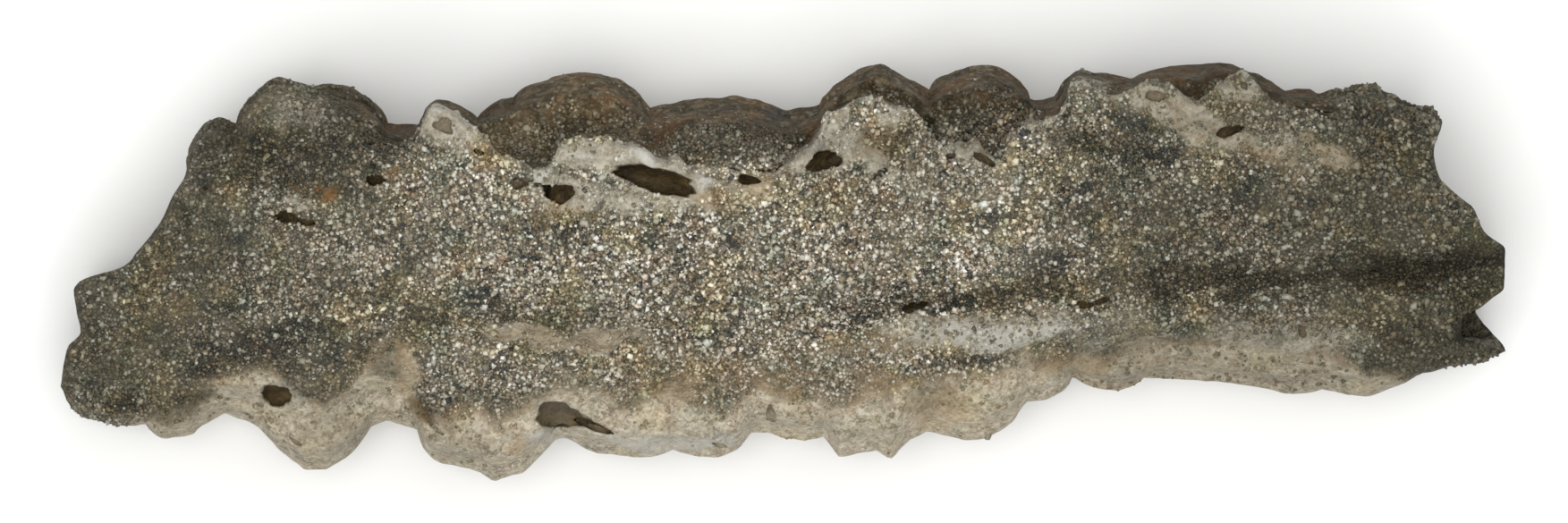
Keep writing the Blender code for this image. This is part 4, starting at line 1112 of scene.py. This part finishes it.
def crazing(nodes, vector, scale):
    """Fine dark lines and pinholes of glassy skin: edges of uneven cells where noise lets them, and dots."""
    moved = nodes.wobbled(vector, 900, 3, 0.0028)
    lines = nodes.span(nodes.cells(moved, scale, "DISTANCE_TO_EDGE")["Distance"], 0.05, 0.012)
    where = nodes.span(nodes.noise(vector, 310, 2), 0.5, 0.62)
    dots = nodes.cells(moved, 1050)
    few = nodes.span(nodes.red(dots["Color"]), 0.72, 0.78)
    return nodes.times(lines, where), nodes.times(nodes.span(dots["Distance"], 0.22, 0.12), few)


def shade_and_dirt(nodes, colour, dusk, shade, kept):
    """Painted shade and stains, then the darker ends: two grey browns multiplied in, the second less on glaze
    and fringe.
    """
    colour = nodes.lay(colour, "dusk", dusk, 0.78, "MULTIPLY")
    return (nodes.lay(colour, "shade", shade, nodes.less(kept, 0.6), "MULTIPLY"),)


# Node groups: what makes each, its inputs with their defaults, and its outputs.
MID_GREY = (0.5, 0.5, 0.5, 1.0)
MAKERS = {
    "sand_pattern": (sand_pattern, {"Vector": None, "Grains per metre": 2300}, ("Cell", "Dome", "Gap")),
    "ragged_mask": (
        ragged_mask,
        {"Vector": None, "Mask": 0, "Scale": 900, "Raggedness": 0.5, "Softness": 0.18},
        ("Mask",),
    ),
    "mottle": (mottle, {"Vector": None, "Scale": 500, "Detail": 5, "Dark": 0.8, "Light": 1.15}, ("Value",)),
    "hue_drift": (hue_drift, {"Vector": None, "Color": MID_GREY, "Amount": 1}, ("Color",)),
    "crazing": (crazing, {"Vector": None, "Scale": 420}, ("Lines", "Pinholes")),
    "shade_and_dirt": (shade_and_dirt, {"Color": MID_GREY, "Dusk": 0, "Shade": 0, "Kept": 0}, ("Color",)),
}


def make_group(name):
    """Builds a node group of MAKERS. A socket named Vector or Color is one, and any other holds a value."""
    maker, inputs, outputs = MAKERS[name]
    tree = bpy.data.node_groups.new(name, "ShaderNodeTree")
    for in_out, labels in (("INPUT", inputs), ("OUTPUT", outputs)):
        for label in labels:
            kind = "NodeSocket" + (label if label in ("Vector", "Color") else "Float")
            socket = tree.interface.new_socket(label, in_out=in_out, socket_type=kind)
            if in_out == "INPUT" and inputs[label] is not None:
                socket.default_value = inputs[label]
    given = tree.nodes.new("NodeGroupInput").outputs
    results = maker(Nodes(tree), *(given[label] for label in inputs))
    out = tree.nodes.new("NodeGroupOutput").inputs
    for label, result in zip(outputs, results):
        tree.links.new(result, out[label])


def new_material(name, colours=None):
    """A material with its shader, and its nodes with the object's own place as a vector."""
    material = bpy.data.materials.new(name)
    material.use_nodes = True
    tree = material.node_tree
    place = tree.nodes.new("ShaderNodeTexCoord").outputs["Object"]
    return material, tree.nodes["Principled BSDF"].inputs, Nodes(tree, place, colours)


def skin_material(colours):
    """Fused sand: a grainy crust, cream and tan glaze, brown lobes, dark stains with painted shade in
    valleys, creases and holes, and the bore's dark glass.
    """
    material, shader, nodes = new_material("fused_sand", colours)
    mask = {name: nodes.attribute(name) for name in SKIN_FIELDS}
    cloudy = {name: nodes.mottle(*numbers) for name, numbers in MOTTLES.items()}
    fine, wide = cloudy["fine"], cloudy["wide"]
    sand = nodes.use("sand_pattern", Vector=nodes.place, Grains_per_metre=CRUST_GRAINS)
    specks = nodes.use("sand_pattern", Vector=nodes.place, Grains_per_metre=GRIT_GRAINS)["Cell"]
    grit = nodes.ramp(specks, "grit")

    crust = nodes.ramp(sand["Cell"], "crust")
    matrix = nodes.lay("matrix_dark", "matrix_light", cloudy["matrix"])
    crust = nodes.lay(crust, matrix, nodes.calc("ADD", nodes.times(mask["film"], 0.6), 0.12))
    crust = nodes.shade(crust, nodes.less(sand["Gap"], 0.5))
    crust = nodes.drift(nodes.shade(crust, cloudy["cloud"]))

    tan = nodes.drift(nodes.ramp(fine, "tan"), 0.75)
    tan = nodes.lay(tan, "tan_stain", wide, 0.35)
    tan = nodes.lay(nodes.lay(tan, crust, 0.25), grit, 0.38)
    tan = nodes.lay(tan, "tan_inland", nodes.span(mask["fringe"], 0.98, 0.6), 0.72)
    cream = nodes.lay(nodes.ramp(fine, "cream"), "cream_stain", wide, 0.4)
    cream = nodes.lay(nodes.lay(cream, crust, 0.2), grit, 0.25)
    cream = nodes.lay(cream, "chalk", mask["chalk"])
    craze = nodes.use("crazing", Vector=nodes.place)
    marks = nodes.calc("ADD", nodes.times(craze["Lines"], 0.45), nodes.times(craze["Pinholes"], 0.5))
    marks = nodes.calc("SUBTRACT", 1.0, marks)
    tan, cream = nodes.shade(tan, marks), nodes.shade(cream, marks, 0.7)

    lobe = nodes.ramp(cloudy["clotted"], "lobe")
    lobe = nodes.lay(lobe, "lobe_red", nodes.span(nodes.noise(nodes.place, 330, 4), 0.45, 0.62), 0.65)
    lobe = nodes.lay(lobe, "lobe_spots", nodes.span(nodes.noise(nodes.place, 1300, 5), 0.56, 0.66), 0.5)
    lobe = nodes.lay(lobe, crust, 0.22)

    edged = {}
    for name, (scale, raggedness, softness) in RAGGED_EDGES.items():
        sockets = {"Mask": mask[name], "Scale": scale, "Raggedness": raggedness, "Softness": softness}
        edged[name] = nodes.use("ragged_mask", Vector=nodes.place, **sockets)["Mask"]
    glaze, fringe, brown = edged["glaze"], edged["fringe"], edged["brown"]
    glassy = nodes.most(glaze, fringe)

    colour = nodes.lay(crust, tan, fringe)
    colour = nodes.lay(colour, cream, glaze)
    colour = nodes.lay(colour, lobe, brown)
    colour = nodes.lay(colour, "honey", edged["honey"], 0.4)
    strong = nodes.calc("SUBTRACT", mask["honey"], 1.0, clamp=True)
    colour = nodes.lay(colour, "rust", nodes.calc("MULTIPLY", strong, 0.9, clamp=True))
    # Soot smudges, some of them painted shade in the valley, less on the fringe.
    colour = nodes.lay(colour, "soot_and_shade", edged["soot_and_shade"], nodes.less(fringe, 0.35, 0.6))
    # Painted shade and stains, then the darker ends, multiplied into the colour.
    colour = nodes.use("shade_and_dirt", Color=colour, Dusk=mask["dusk"], Shade=mask["shade"], Kept=glassy)["Color"]
    # Inside the holes: dark olive, with painted shadow on the far wall multiplied in.
    well = nodes.lay(nodes.ramp(wide, "well"), "pit_shadow", mask["pit_shadow"], 0.85, "MULTIPLY")
    # The well's colour is laid in by the hollow share, which grows with a hole's depth: partly painted shade.
    colour = nodes.lay(colour, nodes.shade(well, cloudy["rubble"]), mask["hollow"])
    colour = nodes.lay(colour, nodes.ramp(fine, "broken"), mask["broken"])
    # The bore: dark glass, partly painted shade of the tube's inside.
    colour = nodes.lay(colour, nodes.ramp(fine, "glass"), mask["bore"])
    nodes.join(colour, shader["Base Color"])

    even = nodes.most(glassy, nodes.times(brown, 0.7))
    rough = nodes.calc("ADD", nodes.span(even, 0, 1, 0.9, 0.55), nodes.times(fine, 0.12))
    rough = nodes.put("Mix", {"data_type": "FLOAT"}, _0=mask["bore"], _2=rough, _3=0.5).outputs[0]
    nodes.join(rough, shader["Roughness"])
    nodes.join(nodes.less(nodes.most(brown, mask["bore"]), 0.3, 0.4), shader["Specular IOR Level"])

    height = nodes.times(sand["Dome"], nodes.less(even, 0.85))
    height = nodes.calc("ADD", height, nodes.times(fine, 0.45))
    bump = nodes.put("Bump", Strength=0.85, Distance=0.22 * MM, Height=height).outputs[0]
    nodes.join(bump, shader["Normal"])
    return material


def grain_material(kind, colours):
    """One kind of sand grain: its own tone from its attribute, dusted and shaded by where it lies."""
    material, shader, nodes = new_material(kind + "_sand", colours)
    field = {name: nodes.attribute(name) for name in GRAIN_FIELDS}
    speck = nodes.mottle(4200, 3, *SPECK_VALUES)
    colour = nodes.shade(nodes.ramp(field["tone"], kind), speck)
    colour = nodes.lay(colour, "honey", field["warm"], 0.22)
    colour = nodes.lay(colour, "grain_film", field["film"], 0.6)
    colour = nodes.drift(nodes.lay(colour, "lobe", field["brown"], 0.5))
    colour = nodes.use("shade_and_dirt", Color=colour, Dusk=field["dusk"], Shade=field["shade"])["Color"]
    nodes.join(colour, shader["Base Color"])
    nodes.join(nodes.span(speck, *SPECK_VALUES, 0.66, 0.48), shader["Roughness"])
    nodes.join(0.3, shader["Specular IOR Level"])
    return material


# ---------------------------------------------------------------- pieces


def add_object(context, name, data):
    """Puts data into the scene as an object at the origin."""
    obj = bpy.data.objects.new(name, data)
    context.collection.objects.link(obj)
    return obj


def add_piece(context, mesh, material):
    """Adds a mesh that rides on the root body and stands for the solid."""
    obj = add_object(context, mesh.name, mesh)
    mesh.materials.append(material)
    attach(obj, "root")
    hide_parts("fulgurite")


def colour_setting(name, description, rgb):
    """A colour that a user may change, from its screen values."""
    return bpy.props.FloatVectorProperty(
        name=name, description=description, subtype="COLOR", size=3, min=0, max=1, default=linear(*rgb)
    )


def length_setting(name, description, default, low, high):
    """A length that a user may change, given in millimetres."""
    return bpy.props.FloatProperty(
        name=name, description=description, default=default * MM, min=low * MM, max=high * MM, unit="LENGTH"
    )


class FulguriteColours(bpy.types.PropertyGroup):
    """Colours of the fused sand."""

    fringe: colour_setting("Fringe", "Smooth tan glaze along the near wing", (176, 166, 145))
    fringe_dark: colour_setting("Fringe shade", "Darker streaks of the tan glaze", (126, 114, 94))
    glaze: colour_setting("Crest glaze", "Pale glaze of the crest and round the gas holes", (158, 154, 141))
    lobe: colour_setting("Brown lobes", "Olive brown lobes behind the crest", (68, 59, 40))
    honey: colour_setting("Honey stain", "Yellow brown translucent spots", (154, 126, 80))
    rust: colour_setting("Rust", "Small orange spots", (172, 110, 58))
    soot_and_shade: colour_setting("Soot", "Blue black smudges between the grains", (52, 56, 60))
    # Set dark: the glass's own olive with painted shade of the holes' depth.
    hole: colour_setting("Gas holes", "Dark olive inside of the gas holes", (92, 76, 42))


class FulguriteSizes(bpy.types.PropertyGroup):
    """Sizes of the skin's relief and of the grains."""

    relief: bpy.props.FloatProperty(
        name="Fine relief", description="How strong the skin's finer lumps are", default=1.0, min=0.0, max=2.0
    )
    lip_height: length_setting("Lip height", "How far the rim of a gas hole stands up", 0.22, 0, 1)
    grain_gap: length_setting("Grain gap", "Edge of the cube that holds one grain at most", 0.25, 0.1, 2)
    grain_size: length_setting("Grain size", "Width of the smallest grains", 0.23, 0.05, 2)


class FulguriteStage(bpy.types.PropertyGroup):
    """Camera, light and floor."""

    lens: bpy.props.FloatProperty(
        name="Lens", description="Focal length of the camera", default=250, min=35, subtype="DISTANCE_CAMERA"
    )
    view_width: length_setting("View width", "Width that the camera sees at the outline", 119.4, 10, 1000)
    floor: colour_setting("Floor", "Plain pale floor", (236, 236, 234))


class FULGURITE_OT_skin(bpy.types.Operator):
    """Make the tube's skin: its lobed outside, gas holes, broken ends and bore"""

    bl_idname = "fulgurite.skin"
    bl_label = "Fused skin"

    def execute(self, context):
        points, fields = skin_surface(context.scene.fulgurite_sizes)
        mesh = torus_mesh("fused_skin", points, fields)
        add_piece(context, mesh, skin_material(context.scene.fulgurite_colours))
        return {"FINISHED"}


class FULGURITE_OT_grains(bpy.types.Operator):
    """Make the four kinds of sand grain that lie half sunk in the skin"""

    bl_idname = "fulgurite.grains"
    bl_label = "Sand grains"

    def execute(self, context):
        sizes = context.scene.fulgurite_sizes
        grains = grain_field(*skin_surface(sizes), sizes)
        for number, kind in enumerate(GRAIN_KINDS):
            material = grain_material(kind, context.scene.fulgurite_colours)
            add_piece(context, grains_mesh(number, grains), material)
        return {"FINISHED"}


class FULGURITE_OT_stage(bpy.types.Operator):
    """Make the pale floor, the soft lights and the camera that looks down on the tube"""

    bl_idname = "fulgurite.stage"
    bl_label = "Stage"

    def execute(self, context):
        scene = context.scene
        settings = scene.fulgurite_stage
        mesh = bpy.data.meshes.new("floor")
        corners = np.array([(-1, -1, 0), (1, -1, 0), (1, 1, 0), (-1, 1, 0)]) * FLOOR_HALF_WIDTH
        mesh.from_pydata(corners, [], [(0, 1, 2, 3)])
        material, shader, nodes = new_material("pale_floor")
        nodes.join(settings.floor, shader["Base Color"])
        nodes.join(0.9, shader["Roughness"])
        mesh.materials.append(material)
        add_object(context, "floor", mesh)

        for name, where, width, power in LIGHTS:
            lamp = bpy.data.lights.new(name, "AREA")
            lamp.size, lamp.energy = width, power
            light = add_object(context, name, lamp)
            light.location = where
            light.rotation_euler = Vector(where).to_track_quat("Z", "Y").to_euler()

        world = bpy.data.worlds.new("soft_room")
        world.use_nodes = True
        background = world.node_tree.nodes["Background"].inputs
        background["Color"].default_value = (1.0, 1.0, 1.0, 1.0)
        background["Strength"].default_value = WORLD_STRENGTH
        scene.world = world

        lens = bpy.data.cameras.new("camera")
        lens.lens, lens.sensor_width, lens.clip_end = settings.lens, SENSOR_WIDTH, 20.0
        scene.camera = add_object(context, "camera", lens)
        away = settings.view_width * settings.lens / SENSOR_WIDTH
        scene.camera.location = (0.0, VIEW_CENTRE_Y, OUTLINE_HEIGHT + away)
        scene.view_settings.view_transform = "Standard"
        return {"FINISHED"}


class FULGURITE_PT_panel(bpy.types.Panel):
    """Lists the operators that make the fulgurite and its stage"""

    bl_label = "Fulgurite"
    bl_idname = "FULGURITE_PT_panel"
    bl_space_type = "VIEW_3D"
    bl_region_type = "UI"
    bl_category = "Fulgurite"

    def draw(self, context):
        for operator in OPERATORS:
            self.layout.operator(operator.bl_idname)
        for holder in SETTINGS:
            box = self.layout.box()
            group = getattr(context.scene, holder)
            for name in group.__annotations__:
                box.prop(group, name)


OPERATORS = (FULGURITE_OT_skin, FULGURITE_OT_grains, FULGURITE_OT_stage)
SETTINGS = {
    "fulgurite_colours": FulguriteColours,
    "fulgurite_sizes": FulguriteSizes,
    "fulgurite_stage": FulguriteStage,
}
CLASSES = (*SETTINGS.values(), *OPERATORS, FULGURITE_PT_panel)


def register():
    """Registers the classes, and gives every scene the settings."""
    for cls in CLASSES:
        bpy.utils.register_class(cls)
    for holder, group in SETTINGS.items():
        setattr(bpy.types.Scene, holder, bpy.props.PointerProperty(type=group))


def unregister():
    """Takes back what register did."""
    for holder in SETTINGS:
        delattr(bpy.types.Scene, holder)
    for cls in reversed(CLASSES):
        bpy.utils.unregister_class(cls)


def main():
    """Makes every piece and the stage."""
    register()
    bpy.ops.fulgurite.skin()
    bpy.ops.fulgurite.grains()
    bpy.ops.fulgurite.stage()


if __name__ == "__main__":
    main()
